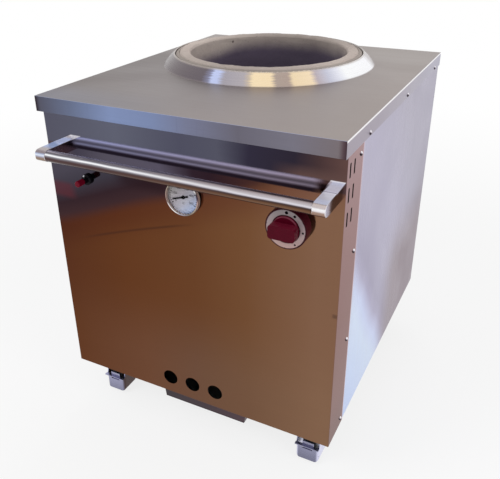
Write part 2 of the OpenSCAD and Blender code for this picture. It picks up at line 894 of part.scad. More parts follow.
spindle_in = plug_far - 6;
spindle_out = disc_front - 4;

module knob() {
    r = knob_d / 2;
    color([0.40, 0.04, 0.09]) on_front(knob_x, z_knob) difference() {
        union() {
            rotate_extrude() polygon([
                [0, disc_back], [r, disc_back], [r, disc_front - 2], [r - 2, disc_front], [0, disc_front]
            ]);
            translate([0, 0, disc_front - eps]) linear_extrude(grip_h) {
                round_rect(2 * grip_reach, grip_w, 6);
            }
        }
        translate([0, 0, disc_back - eps]) linear_extrude(spindle_out - disc_back) {
            spindle_shape(spindle_d / 2 + fit);
        }
        translate([0, 0, disc_back - eps]) linear_extrude(disc_front - disc_back - 5) difference() {
            circle(r - 2.5);
            circle(spindle_d / 2 + 4);
        }
    }
}

module valve_spindle() {
    color([0.75, 0.70, 0.50]) on_front(knob_x, z_knob) translate([0, 0, -spindle_in]) {
        linear_extrude(spindle_in + spindle_out - 1) spindle_shape(spindle_d / 2);
    }
}

module valve_plug() {
    color([0.72, 0.60, 0.30]) on_front(knob_x, z_knob) translate([0, 0, -plug_far]) {
        linear_extrude(plug_far - plug_near) difference() {
            circle(plug_r);
            spindle_shape(spindle_d / 2 + fit);
        }
    }
}

module gas_valve() {
    color([0.70, 0.66, 0.55]) on_front(knob_x, z_knob) difference() {
        union() {
            translate([0, 0, -valve_back]) {
                linear_extrude(valve_back - valve_front) round_rect(valve_w, valve_h, 4);
            }
            translate([0, 0, -valve_front - eps]) cylinder(r = 12, h = valve_front - sheet + eps);
        }
        translate([0, 0, -plug_far - gap]) cylinder(r = plug_r + fit, h = plug_far - plug_near + 2 * gap);
        translate([0, 0, -plug_near]) cylinder(r = spindle_d / 2 + 0.4, h = plug_near);
    }
}

// The threaded socket at the rear where the supply is connected
module gas_inlet() {
    hex_r = inlet_r + 6;
    color([0.72, 0.60, 0.30]) translate([supply_x, rear_face, supply_z]) difference() {
        union() {
            y_rod(hex_r, inlet_reach + sheet - 3);
            translate([0, inlet_reach + sheet - 3 - eps, 0]) y_rod(inlet_r + 4, 3 + eps);
            translate([0, -12, 0]) y_rod(inlet_r + 4, 12 + eps);
            translate([0, -sheet - 6, 0]) rotate([-90, 0, 0]) cylinder(r = hex_r + 2, h = 6, $fn = 6);
        }
        translate([0, inlet_reach + sheet - inlet_depth, 0]) y_rod(inlet_r, inlet_depth + eps);
        translate([0, -12 - eps, 0]) y_rod(pipe_r - 2, inlet_reach + 12);
    }
}

module supply_pipe() {
    y_up = front_y + valve_port;
    color([0.72, 0.45, 0.30]) pipe_run([
        [supply_x, rear_face - 12, supply_z], [supply_x, y_up, supply_z], [supply_x, y_up, z_knob],
        [knob_x + valve_w / 2, y_up, z_knob]
    ], pipe_r);
}

module burner_pipe() {
    y_down = front_y + valve_port;
    color([0.72, 0.45, 0.30]) pipe_run([
        [knob_x, y_down, z_knob - valve_h / 2], [knob_x, y_down, burner_z], [pot_x, y_down, burner_z],
        [pot_x, pot_y - burner_r + 2, burner_z]
    ], pipe_r);
}

module burner() {
    ports = 16;
    color([0.22, 0.22, 0.23]) at_pot() translate([0, 0, burner_z]) difference() {
        rotate_extrude() polygon([
            [0, -burner_t / 2], [burner_r - 6, -burner_t / 2], [burner_r, -burner_t / 2 + 6],
            [burner_r, burner_t / 2 - 6], [burner_r - 6, burner_t / 2], [24, burner_t / 2],
            [20, burner_t / 2 - 4], [0, burner_t / 2 - 4]
        ]);
        for (i = [0 : ports - 1]) rotate([0, 0, i * 360 / ports]) {
            translate([burner_r - 18, 0, burner_t / 2 - 6]) cylinder(r = 2, h = 7, $fn = 16);
        }
        translate([0, -burner_r - eps, 0]) y_rod(pipe_r + fit, 4);
    }
}

// A bridge on two feet that holds the burner over the hole in the base plate
module burner_bracket() {
    top = burner_z - burner_t / 2;
    t = 4;
    half = bracket_foot_off + t;
    color([0.5, 0.5, 0.52]) at_pot() {
        translate([-half, -bracket_bar_w / 2, top - t]) cube([2 * half, bracket_bar_w, t]);
        for (s = [0, 1]) mirror([s, 0, 0]) {
            translate([bracket_foot_off, -bracket_bar_w / 2, z_floor]) {
                cube([t, bracket_bar_w, top - z_floor]);
            }
            translate([bracket_foot_off, -bracket_bar_w / 2, z_floor]) cube([20, bracket_bar_w, t]);
        }
    }
}

// Pilot burner, thermocouple and spark electrode in one clip on the bridge
module pilot_assembly() {
    top = burner_z - burner_t / 2;
    block_h = 18;
    color([0.6, 0.58, 0.52]) translate([pilot_x, pot_y, top]) {
        translate([-8, -15, 0]) cube([2 * pilot_pitch + 16, 30, block_h]);
        for (i = [0 : 2]) translate([i * pilot_pitch, 0, block_h - 1]) {
            cylinder(r = [5, 3, 2][i], h = [14, 22, 24][i], $fn = 32);
        }
    }
}

// Pilot gas tube, thermocouple lead and ignition lead
module pilot_lines() {
    y_end = pot_y - 15;
    y_drop = front_y + valve_back - 8;
    y_spark = front_y + valve_back + 12;
    z_valve = z_knob - valve_h / 2;
    color([0.35, 0.33, 0.30]) {
        pipe_run([[knob_x - 14, y_drop, z_valve], [knob_x - 14, y_drop, line_z + 36],
            [pilot_x, y_drop, line_z + 36], [pilot_x, y_drop, line_z], [pilot_x, y_end, line_z]], line_r);
        pipe_run([[knob_x + 14, y_drop, z_valve], [knob_x + 14, y_drop, line_z + 24],
            [pilot_x + pilot_pitch, y_drop, line_z + 24], [pilot_x + pilot_pitch, y_drop, line_z],
            [pilot_x + pilot_pitch, y_end, line_z]], line_r);
        pipe_run([[igniter_x, front_y + barrel_l, z_igniter], [igniter_x, y_spark, z_igniter],
            [igniter_x, y_spark, line_z + 50], [pilot_x + 2 * pilot_pitch, y_spark, line_z + 50],
            [pilot_x + 2 * pilot_pitch, y_spark, line_z],
            [pilot_x + 2 * pilot_pitch, y_end, line_z]], line_r);
    }
}

// ---------------------------------------------------------------- igniter

module igniter_body() {
    r = igniter_d / 2;
    color([0.07, 0.07, 0.08]) on_front(igniter_x, z_igniter) difference() {
        union() {
            rotate_extrude() polygon([
                [0, 0], [r, 0], [r, igniter_out - 3], [r - 2, igniter_out], [0, igniter_out]
            ]);
            translate([0, 0, -barrel_l]) cylinder(r = barrel_r, h = barrel_l + eps);
        }
        translate([0, 0, -button_in - button_travel - 2]) {
            cylinder(r = button_d / 2 + 2 * fit, h = barrel_l + igniter_out);
        }
    }
}

module igniter_button() {
    r = button_d / 2;
    edge = 2;
    color([0.72, 0.05, 0.10]) on_front(igniter_x, z_igniter) rotate_extrude() {
        polygon([
            [0, -button_in], [r, -button_in], [r, button_out - edge],
            [r - edge, button_out], [0, button_out]
        ]);
        translate([r - edge, button_out - edge]) circle(edge, $fn = 24);
    }
}

// ---------------------------------------------------------------- ash tray

// The tray's section across: sides that lean out, drawn in by a wall t and open above when t isn't 0
module tray_outline(t) {
    top = tray_top + (t > 0 ? eps : 0);
    polygon([
        [t - tray_w / 2, tray_z + t], [tray_w / 2 - t, tray_z + t], [tray_half - t, top], [t - tray_half, top]
    ]);
}

module ash_tray() {
    color([0.62, 0.60, 0.60]) translate([0, tray_front, 0]) {
        difference() {
            translate([0, tray_l, 0]) rotate([90, 0, 0]) linear_extrude(tray_l) tray_outline(0);
            translate([0, tray_l - tray_t, 0]) rotate([90, 0, 0]) {
                linear_extrude(tray_l - 2 * tray_t) tray_outline(tray_t);
            }
        }
        for (s = [0, 1]) mirror([s, 0, 0]) {
            translate([tray_half - tray_t, 0, tray_top - tray_t]) {
                cube([tray_flange + tray_t, tray_l, tray_t]);
            }
        }
    }
}

// Two angles under the base plate that the tray's flanges slide on
module tray_runners() {
    x_out = tray_half + tray_flange + gap;
    lip_top = tray_top - tray_t - gap;
    color([0.58, 0.58, 0.60]) for (s = [0, 1]) mirror([s, 0, 0]) {
        translate([0, tray_front, 0]) {
            translate([x_out, 0, lip_top - runner_t]) cube([runner_t, tray_l, z_base - lip_top + runner_t]);
            translate([x_out - runner_lip, 0, lip_top - runner_t]) cube([runner_lip + eps, tray_l, runner_t]);
            translate([x_out, 0, z_base - runner_t]) cube([15, tray_l, runner_t]);
        }
    }
}

// ---------------------------------------------------------------- castors

caster_places = [
    [-caster_x, front_caster_y], [caster_x, front_caster_y],
    [-caster_x, rear_caster_y], [caster_x, rear_caster_y]
];

module at_caster(i) {
    translate([caster_places[i][0], caster_places[i][1], 0]) children();
}
module at_caster_bolts() {
    for (i = [0 : 3], sx = [-1, 1], sy = [-1, 1]) {
        at_caster(i) translate([sx * caster_bolt_off[0], sy * caster_bolt_off[1], 0]) children();
    }
}

// Fixed top plate, upper race and kingpin
module caster_plates() {
    color([0.70, 0.70, 0.72]) for (i = [0 : 3]) at_caster(i) {
        difference() {
            translate([0, 0, caster_h - plate_t]) linear_extrude(plate_t) {
                round_rect(2 * plate_half[0], 2 * plate_half[1], 8);
            }
            for (sx = [-1, 1], sy = [-1, 1]) {
                translate([sx * caster_bolt_off[0], sy * caster_bolt_off[1], caster_h - plate_t - eps]) {
                    cylinder(r = caster_bolt_r + hole_play, h = plate_t + 2 * eps, $fn = 24);
                }
            }
        }
        rotate_extrude() polygon([
            [0, z_crown - gap - 4], [9, z_crown - gap - 4], [11, z_crown - gap - 2], [11, z_crown - gap],
            [kingpin_r, z_crown - gap], [kingpin_r, z_race], [race_r - 4, z_race], [race_r, z_race + 4],
            [race_r, caster_h - plate_t - 3], [race_r - 3, caster_h - plate_t + eps],
            [0, caster_h - plate_t + eps]
        ]);
    }
}

module caster_bolts() {
    head_h = 5;
    color("silver") at_caster_bolts() {
        translate([0, 0, z_base - plate_t - head_h]) {
            cylinder(r = caster_nut_r, h = head_h, $fn = 6);
            cylinder(r = caster_bolt_r, h = 2 * head_h + plate_t + base_t + 2, $fn = 24);
        }
        translate([0, 0, z_floor]) cylinder(r = caster_nut_r, h = head_h, $fn = 6);
    }
}

// The fork's side view: crown, leg and axle boss, with an ear for the brake pivot
module leg_shape(brake) {
    top = z_crown + crown_t;
    ear_y = brake ? pivot_y : axle_y - 12;
    polygon([
        [24, top], [-20, top], [ear_y - 4, pivot_z + 8], [ear_y - 4, pivot_z - 8],
        [axle_y - 14, wheel_r], [axle_y + 14, wheel_r], [6, z_crown - 18], [24, z_crown - 4]
    ]);
    translate([axle_y, wheel_r]) circle(14, $fn = 48);
    if (brake) translate([pivot_y, pivot_z]) circle(9, $fn = 48);
}

module fork(brake) {
    color([0.78, 0.78, 0.80]) difference() {
        union() {
            translate([0, 0, z_crown]) cylinder(r = crown_r, h = crown_t);
            translate([-leg_out, -20, z_crown]) cube([2 * leg_out, 44, crown_t]);
            for (s = [0, 1]) mirror([s, 0, 0]) {
                translate([leg_in, 0, 0]) rotate([90, 0, 90]) linear_extrude(leg_t) leg_shape(brake);
                translate([leg_out - eps, axle_y, wheel_r]) x_rod(9, 4);
                if (brake) translate([leg_out - eps, pivot_y, pivot_z]) {
                    x_rod(pivot_r, pedal_w / 2 + 2 - leg_out);
                }
            }
            translate([-leg_out, axle_y, wheel_r]) x_rod(axle_r, 2 * leg_out);
        }
        translate([0, 0, z_crown - eps]) cylinder(r = kingpin_r + fit, h = crown_t + 2 * eps);
    }
}
module fork_fl() { at_caster(0) fork(true); }
module fork_fr() { at_caster(1) fork(true); }
module fork_rl() { at_caster(2) fork(false); }
module fork_rr() { at_caster(3) fork(false); }

// A hub with a boss, a web and a rim, turned about the axle
module hub() {
    boss = leg_in - gap;
    rim = wheel_w / 2 - 1;
    color([0.45, 0.46, 0.48]) translate([0, axle_y, wheel_r]) rotate([0, 90, 0]) rotate_extrude() polygon([
        [axle_r + fit, -boss], [11, -boss], [13, -7], [hub_r - 5, -7], [hub_r - 3, -rim], [hub_r, -rim],
        [hub_r, rim], [hub_r - 3, rim], [hub_r - 5, 7], [13, 7], [11, boss], [axle_r + fit, boss]
    ]);
}
module hub_fl() { at_caster(0) hub(); }
module hub_fr() { at_caster(1) hub(); }
module hub_rl() { at_caster(2) hub(); }
module hub_rr() { at_caster(3) hub(); }

// A tyre with rounded shoulders and a slightly crowned tread
module tyre() {
    half = wheel_w / 2;
    color([0.16, 0.16, 0.17]) translate([0, axle_y, wheel_r]) rotate([0, 90, 0]) rotate_extrude() polygon([
        [hub_r + fit, -half + 1], [hub_r + 6, -half], [wheel_r - 7, -half], [wheel_r - 3, -half + 3],
        [wheel_r - 0.6, -half + 7], [wheel_r, -half + 10], [wheel_r, half - 10], [wheel_r - 0.6, half - 7],
        [wheel_r - 3, half - 3], [wheel_r - 7, half], [hub_r + 6, half], [hub_r + fit, half - 1]
    ]);
}
module tyre_fl() { at_caster(0) tyre(); }
module tyre_fr() { at_caster(1) tyre(); }
module tyre_rl() { at_caster(2) tyre(); }
module tyre_rr() { at_caster(3) tyre(); }

// The hood of the pedal seen from above, as a block with rounded front corners
module hood_plan(half, front, r) {
    translate([-half, front + r]) square([2 * half, hood_front_y + hood_len - front - r]);
    translate([-half + r, front]) square([2 * (half - r), r + eps]);
    for (s = [-1, 1]) translate([s * (half - r), front + r]) circle(r, $fn = 48);
}

// The shoe in the pedal's hood, cut to the tread
module brake_shoe() {
    z_shoe = wheel_r - 14;
    difference() {
        translate([-shoe_w / 2, hood_back_y - eps, z_shoe]) {
            cube([shoe_w, axle_y - wheel_r - hood_back_y + 2, hood_high - z_shoe]);
        }
        translate([-shoe_w, axle_y, wheel_r]) x_rod(wheel_r + gap, 2 * shoe_w);
    }
}

// A pressed brake pedal: a round-cornered hood in front of the wheel, a ledge, a tab and two arms
module pedal() {
    half = pedal_w / 2;
    slot_len = 26;
    color([0.80, 0.80, 0.84]) difference() {
        union() {
            intersection() {
                translate([0, 0, hood_low]) linear_extrude(hood_high - hood_low) difference() {
                    hood_plan(half, hood_front_y, hood_corner);
                    hood_plan(pedal_in, hood_back_y, hood_corner - pedal_t);
                    translate([-pedal_in, hood_front_y + hood_len - 1]) square([2 * pedal_in, 2]);
                }
                translate([0, 0, (hood_low + hood_high) / 2 + 10]) rotate([90, 0, 0]) {
                    translate([0, 0, -hood_front_y - hood_len - 1]) linear_extrude(hood_len + 2) {
                        round_rect(pedal_w, hood_high - hood_low + 20, hood_corner);
                    }
                }
            }
            translate([-half - 1, hood_front_y - ledge_out, hood_high - eps]) {
                cube([pedal_w + 2, ledge_out + pedal_t + 1, pedal_t]);
            }
            translate([-12, hood_back_y - pedal_t, hood_high]) cube([28, pedal_t, 14]);
            brake_shoe();
            for (s = [0, 1]) mirror([s, 0, 0]) {
                translate([pedal_in, 0, 0]) rotate([90, 0, 90]) linear_extrude(pedal_t) {
                    polygon([
                        [hood_front_y + 5, hood_high - 1], [hood_front_y + hood_len - 5, hood_high - 1],
                        [pivot_y + 9, pivot_z], [pivot_y - 9, pivot_z]
                    ]);
                    translate([pivot_y, pivot_z]) circle(9, $fn = 48);
                }
            }
        }
        translate([-slot_len / 2, hood_front_y - 1, hood_high - 9]) cube([slot_len, pedal_t + 2, 6]);
        translate([-pedal_w, pivot_y, pivot_z]) x_rod(pivot_r + fit, 2 * pedal_w);
    }
}
module pedal_fl() { at_caster(0) pedal(); }
module pedal_fr() { at_caster(1) pedal(); }

top_cover();
front_panel();
side_panel_left();
side_panel_right();
rear_panel();
base_plate();
base_rails();
upper_frame();
bulkhead();
panel_screws();
collar();
mortar_ring();
clay_pot();
insulation();
pot_drum();
pot_stand();
baffle_plate();
handle_bar();
handle_bracket_left();
handle_bracket_right();
handle_bolts();
thermometer_case();
thermometer_dial();
thermometer_needle();
thermometer_lens();
thermometer_stem();
locknuts();
knob_housing();
dial_ring();
knob();
valve_spindle();
valve_plug();
gas_valve();
gas_inlet();
supply_pipe();
burner_pipe();
burner();
burner_bracket();
pilot_assembly();
pilot_lines();
igniter_body();
igniter_button();
ash_tray();
tray_runners();
caster_plates();
caster_bolts();
fork_fl();
fork_fr();
fork_rl();
fork_rr();
hub_fl();
hub_fr();
hub_rl();
hub_rr();
tyre_fl();
tyre_fr();
tyre_rl();
tyre_rr();
pedal_fl();
pedal_fr();
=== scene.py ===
# Looks of the clay tandoor oven: camera, stage, light, materials and the detailed pieces.
# Metres, +Z up, -Y to the front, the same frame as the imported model.
import json
import math

import bmesh
import bpy
from mathutils import Matrix, Vector, noise
from mathutils.bvhtree import BVHTree

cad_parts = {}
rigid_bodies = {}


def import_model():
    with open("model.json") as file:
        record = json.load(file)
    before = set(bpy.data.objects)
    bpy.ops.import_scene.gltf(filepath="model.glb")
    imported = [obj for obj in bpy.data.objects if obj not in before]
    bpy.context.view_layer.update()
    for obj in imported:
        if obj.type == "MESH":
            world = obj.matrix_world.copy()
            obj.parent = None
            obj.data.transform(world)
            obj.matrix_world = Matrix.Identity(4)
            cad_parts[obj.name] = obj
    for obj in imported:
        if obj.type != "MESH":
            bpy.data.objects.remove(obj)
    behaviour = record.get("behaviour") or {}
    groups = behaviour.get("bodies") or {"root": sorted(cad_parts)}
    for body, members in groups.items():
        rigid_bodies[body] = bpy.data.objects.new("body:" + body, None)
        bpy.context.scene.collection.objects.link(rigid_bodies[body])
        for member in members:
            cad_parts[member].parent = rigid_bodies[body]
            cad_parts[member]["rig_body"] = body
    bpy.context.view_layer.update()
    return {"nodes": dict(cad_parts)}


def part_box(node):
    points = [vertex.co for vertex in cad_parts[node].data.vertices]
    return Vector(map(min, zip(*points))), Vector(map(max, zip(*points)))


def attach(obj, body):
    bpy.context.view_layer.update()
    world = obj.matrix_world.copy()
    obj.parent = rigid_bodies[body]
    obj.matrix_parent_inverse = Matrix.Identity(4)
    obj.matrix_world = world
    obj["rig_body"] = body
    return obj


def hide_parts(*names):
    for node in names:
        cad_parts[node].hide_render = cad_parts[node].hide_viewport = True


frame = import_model()
NODES = frame["nodes"]

# ---------------------------------------------------------------- places, in metres

PANEL_LOW, PANEL_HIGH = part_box("front_panel")
POT_LOW, POT_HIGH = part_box("clay_pot")
DIAL_LOW, DIAL_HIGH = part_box("thermometer_dial")
RING_LOW, RING_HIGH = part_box("dial_ring")
BAR_LOW, BAR_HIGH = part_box("handle_bar")
BUTTON_LOW, BUTTON_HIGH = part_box("igniter_button")
FRONT = PANEL_LOW.y
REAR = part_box("top_cover")[1].y
UNDER = PANEL_LOW.z
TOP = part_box("top_cover")[1].z
RIM = POT_HIGH.z
POT = (POT_LOW + POT_HIGH) / 2
GAUGE = (DIAL_LOW + DIAL_HIGH) / 2
RING = (RING_LOW + RING_HIGH) / 2
BAR = (BAR_LOW + BAR_HIGH) / 2
BUTTON = (BUTTON_LOW + BUTTON_HIGH) / 2
ARM_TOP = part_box("handle_bracket_left")[1].z
TRAY_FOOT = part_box("ash_tray")[0].z
CASTORS = ("fl", "fr", "rl", "rr")

# ---------------------------------------------------------------- camera

AZIMUTH, ELEVATION, ROLL = 27.24, 26.32, -0.6859  # degrees
EYE = (0.6449, FRONT - 0.994825, 1.1982)
LENS, SENSOR = 45.007, 36  # mm
SHIFT = (0.0216, -0.0404)  # of the picture, in shares of its width


def camera():
    """A camera at the photograph's place, height and angle."""
    azimuth, elevation, roll = (math.radians(degrees) for degrees in (AZIMUTH, ELEVATION, ROLL))
    right = Vector((math.cos(azimuth), math.sin(azimuth), 0))
    back = Vector((
        math.sin(azimuth) * math.cos(elevation),
        -math.cos(azimuth) * math.cos(elevation),
        math.sin(elevation),
    ))
    up = back.cross(right)
    turned_right = right * math.cos(roll) + up * math.sin(roll)
    turned_up = up * math.cos(roll) - right * math.sin(roll)
    data = bpy.data.cameras.new("camera")
    data.lens = LENS
    data.sensor_width = SENSOR
    data.shift_x, data.shift_y = SHIFT
    data.clip_end = 50
    obj = bpy.data.objects.new("camera", data)
    turn = Matrix((turned_right, turned_up, back)).transposed().to_4x4()
    obj.matrix_world = Matrix.Translation(EYE) @ turn
    bpy.context.scene.collection.objects.link(obj)
    bpy.context.scene.camera = obj


camera()

# ---------------------------------------------------------------- material nodes


def srgb(r, g, b):
    """A colour given in display steps of 0 to 255, as the shader's linear values."""
    def one(c):
        c /= 255
        return c / 12.92 if c <= 0.04045 else ((c + 0.055) / 1.055) ** 2.4
    return (one(r), one(g), one(b), 1)


M = {}  # the finished materials by name


class Mat:
    """A material whose nodes are added by short calls, most of which return an output socket."""

    def __init__(self, name, metallic=0.0, roughness=0.5, colour=None, **sockets):
        self.name = name
        self.m = bpy.data.materials.new(name)
        self.m.use_nodes = True
        self.nodes = self.m.node_tree.nodes
        self.links = self.m.node_tree.links
        self.shader = self.nodes["Principled BSDF"]
        self.shader.inputs["Metallic"].default_value = metallic
        self.shader.inputs["Roughness"].default_value = roughness
        if colour:
            self.shader.inputs["Base Color"].default_value = colour
        for name_, value in sockets.items():
            self.shader.inputs[name_.replace("_", " ")].default_value = value
        self.place = self.nodes.new("ShaderNodeTexCoord").outputs["Object"]
        self.xyz = None

    def _put(self, value, socket):
        if isinstance(value, (int, float, tuple)):
            socket.default_value = value
        else:
            self.links.new(value, socket)

    def axis(self, which):
        """x, y or z of the point on the part, in metres."""
        if self.xyz is None:
            split = self.nodes.new("ShaderNodeSeparateXYZ")
            self.links.new(self.place, split.inputs[0])
            self.xyz = split.outputs
        return self.xyz["XYZ".index(which)]

    def normal(self, which):
        """x, y or z of the direction in which the face looks."""
        split = self.nodes.new("ShaderNodeSeparateXYZ")
        self.links.new(self.nodes.new("ShaderNodeTexCoord").outputs["Normal"], split.inputs[0])
        return split.outputs["XYZ".index(which)]

    def math(self, kind, a, b=0.0, c=0.0, clamp=False):
        node = self.nodes.new("ShaderNodeMath")
        node.operation = kind
        node.use_clamp = clamp
        for value, socket in zip((a, b, c), node.inputs):
            self._put(value, socket)
        return node.outputs[0]

    def times(self, a, b):
        """The product of two values."""
        return self.math("MULTIPLY", a, b)

    def span(self, value, low, high, to_low=0.0, to_high=1.0, smooth=False):
        """value from low to high, as to_low to to_high, held at the ends."""
        node = self.nodes.new("ShaderNodeMapRange")
        node.clamp = True
        if smooth:
            node.interpolation_type = "SMOOTHSTEP"
        for given, socket in zip((value, low, high, to_low, to_high), node.inputs):
            self._put(given, socket)
        return node.outputs[0]

    def stretched(self, by):
        """The point on the part, with each axis scaled."""
        node = self.nodes.new("ShaderNodeMapping")
        self.links.new(self.place, node.inputs["Vector"])
        node.inputs["Scale"].default_value = by
        return node.outputs[0]

    def noise(self, scale, detail=3.0, rough=0.5, stretch=None, distort=0.0, source=None):
        """Cloudy values round 0.5; stretch draws them out where an axis is scaled down."""
        node = self.nodes.new("ShaderNodeTexNoise")
        where = self.stretched(stretch) if stretch else source or self.place
        self.links.new(where, node.inputs["Vector"])
        node.inputs["Scale"].default_value = scale
        node.inputs["Detail"].default_value = detail
        node.inputs["Roughness"].default_value = rough
        node.inputs["Distortion"].default_value = distort
        return node.outputs["Fac"]

    def cells(self, scale, feature="F1"):
        """Distances in a net of cells."""
        node = self.nodes.new("ShaderNodeTexVoronoi")
        node.feature = feature
        self.links.new(self.place, node.inputs["Vector"])
        node.inputs["Scale"].default_value = scale
        return node.outputs["Distance"]

    def ramp(self, value, *stops):
        """A colour by value: stops are (place from 0 to 1, colour)."""
        node = self.nodes.new("ShaderNodeValToRGB")
        points = node.color_ramp.elements
        while len(points) < len(stops):
            points.new(0.5)
        for point, (spot, colour) in zip(points, stops):
            point.position = spot
            point.color = colour
        self._put(value, node.inputs[0])
        return node.outputs[0]

    def mix(self, share, a, b, kind="MIX"):
        """a where share is 0, b where it is 1."""
        node = self.nodes.new("ShaderNodeMix")
        node.data_type = "RGBA"
        node.blend_type = kind
        self._put(share, node.inputs[0])
        self._put(a, node.inputs[6])
        self._put(b, node.inputs[7])
        return node.outputs[2]

    def bump(self, height, distance, strength=1.0, after=None):
        node = self.nodes.new("ShaderNodeBump")
        node.inputs["Strength"].default_value = strength
        node.inputs["Distance"].default_value = distance
        self._put(height, node.inputs["Height"])
        if after is not None:
            self.links.new(after, node.inputs["Normal"])
        return node.outputs[0]

    def radius(self, centre=POT):
        """Distance from a vertical axis, in metres."""
        dx = self.math("SUBTRACT", self.axis("X"), centre.x)
        dy = self.math("SUBTRACT", self.axis("Y"), centre.y)
        square = self.math("ADD", self.times(dx, dx), self.times(dy, dy))
        return self.math("SQRT", square)

    def angle(self):
        """Angle round the pot's axis, in radians."""
        dx = self.math("SUBTRACT", self.axis("X"), POT.x)
        dy = self.math("SUBTRACT", self.axis("Y"), POT.y)
        return self.math("ARCTAN2", dy, dx)

    def far_from(self, point):
        """Distance from a point of the part, in metres."""
        node = self.nodes.new("ShaderNodeVectorMath")
        node.operation = "DISTANCE"
        self.links.new(self.place, node.inputs[0])
        node.inputs[1].default_value = point
        return node.outputs["Value"]

    def finish(self, colour=None, roughness=None, normal=None, metallic=None):
        """Puts what is given into the shader, and keeps the material in M under its name."""
        for value, name in ((colour, "Base Color"), (roughness, "Roughness"), (normal, "Normal"),
                            (metallic, "Metallic")):
            if value is not None:
                self._put(value, self.shader.inputs[name])
        M[self.name] = self.m


def along(mat, value, low, high, *stops):
    """A colour by value: stops are (place in the value's own units, red, green, blue in display steps)."""
    scaled = [((spot - low) / (high - low), srgb(r, g, b)) for spot, r, g, b in stops]
    return mat.ramp(mat.span(value, low, high), *scaled)


def between(mat, value, low, high, soft):
    """1 where low < value < high, with soft borders."""
    up = mat.span(value, low - soft / 2, low + soft / 2, smooth=True)
    down = mat.span(value, high - soft / 2, high + soft / 2, 1.0, 0.0, smooth=True)
    return mat.times(up, down)


def touched(mat, tone, where, strength, r, g, b):
    """A colour that goes towards another one, in display steps, where a mask is 1."""
    return mat.mix(mat.times(where, strength), tone, srgb(r, g, b))


def shaded(mat, tone, shade):
    """A colour darkened by a grey value."""
    grey = mat.nodes.new("ShaderNodeCombineColor")
    for socket in grey.inputs:
        mat._put(shade, socket)
    return mat.mix(1.0, tone, grey.outputs[0], kind="MULTIPLY")


SATIN = 0.6  # roughness of the soft metal
SCRATCHES = 0.12  # what a fine scratch adds to the roughness
GRAIN = {"X": (0.012, 1, 1), "Y": (1, 0.012, 1), "Z": (1, 1, 0.012)}


def wear(mat, low, high, grain, cloud=3.0):
    """Roughness of a metal face: brushed grain, soft clouds of finger grease and a few fine scratches."""
    base = mat.span(grain, 0.3, 0.7, low, high)
    smear = mat.span(mat.noise(cloud, 3, 0.55, distort=0.8), 0.42, 0.72, 0.0, (high - low) * 0.9)
    fine = mat.span(mat.noise(220, 2, 0.7, stretch=(1, 1, 0.02)), 0.66, 0.74, 0.0, SCRATCHES)
    return mat.math("ADD", mat.math("ADD", base, smear), fine, clamp=True)


def brushed(name, colour, way="X", low=0.2, high=0.34, cloud=3.0, depth=0.00002, share=0.12, soil=0.1, waves=0.0,
            satin=None, matt=None, **sockets):
    """Brushed sheet: grain lines along one axis, in colour, roughness and a shallow bump.

    waves is a gentle buckle; satin and matt give, for a material, the share of a soft metal and of a chalky
    finish at each point.
    """
    mat = Mat(name, metallic=1.0, **sockets)
    fine = mat.noise(900, 2, 0.6, stretch=GRAIN[way])
    broad = mat.noise(120, 3, 0.6, stretch=GRAIN[way])
    grain = mat.math("MULTIPLY_ADD", fine, 0.6, mat.times(broad, 0.4))
    tone = colour(mat) if callable(colour) else colour
    dark = mat.span(grain, 0.32, 0.68, 1 - share, 1 + share * 0.5)
    stain = mat.span(mat.noise(6, 4, 0.6, distort=0.4), 0.35, 0.8, 1.0, 1 - soil)
    normal = mat.bump(grain, depth, 0.6)
    if waves:
        normal = mat.bump(mat.noise(3.2, 2, 0.5), waves, 1.0, after=normal)
    rough = wear(mat, low, high, grain, cloud)
    if satin:
        rough = mat.math("MAXIMUM", rough, mat.times(satin(mat), SATIN))
    mat.finish(
        colour=shaded(mat, tone, mat.times(dark, stain)),
        roughness=rough,
        normal=normal,
        metallic=mat.math("SUBTRACT", 1.0, matt(mat)) if matt else None,
    )


def plain(name, colour, roughness=0.5, metallic=0.0, scale=60, depth=0.0002, spread=0.14, **sockets):
    """A cast, moulded or painted surface: mottled colour, uneven roughness and a fine grain in the bump."""
    mat = Mat(name, metallic=metallic, **sockets)
    big = mat.noise(scale * 0.18, 4, 0.6)
    small = mat.noise(scale * 6, 3, 0.6)
    tone = colour(mat) if callable(colour) else colour
    rough = mat.math("MULTIPLY_ADD", mat.span(small, 0.3, 0.7, -0.08, 0.08), 1.0,
                     mat.span(big, 0.3, 0.7, roughness - 0.06, roughness + 0.06), clamp=True)
    mat.finish(
        colour=shaded(mat, tone, mat.span(big, 0.3, 0.7, 1 - spread, 1 + spread)),
        roughness=rough,
        normal=mat.bump(small, depth, 0.5),
    )


# ---------------------------------------------------------------- materials


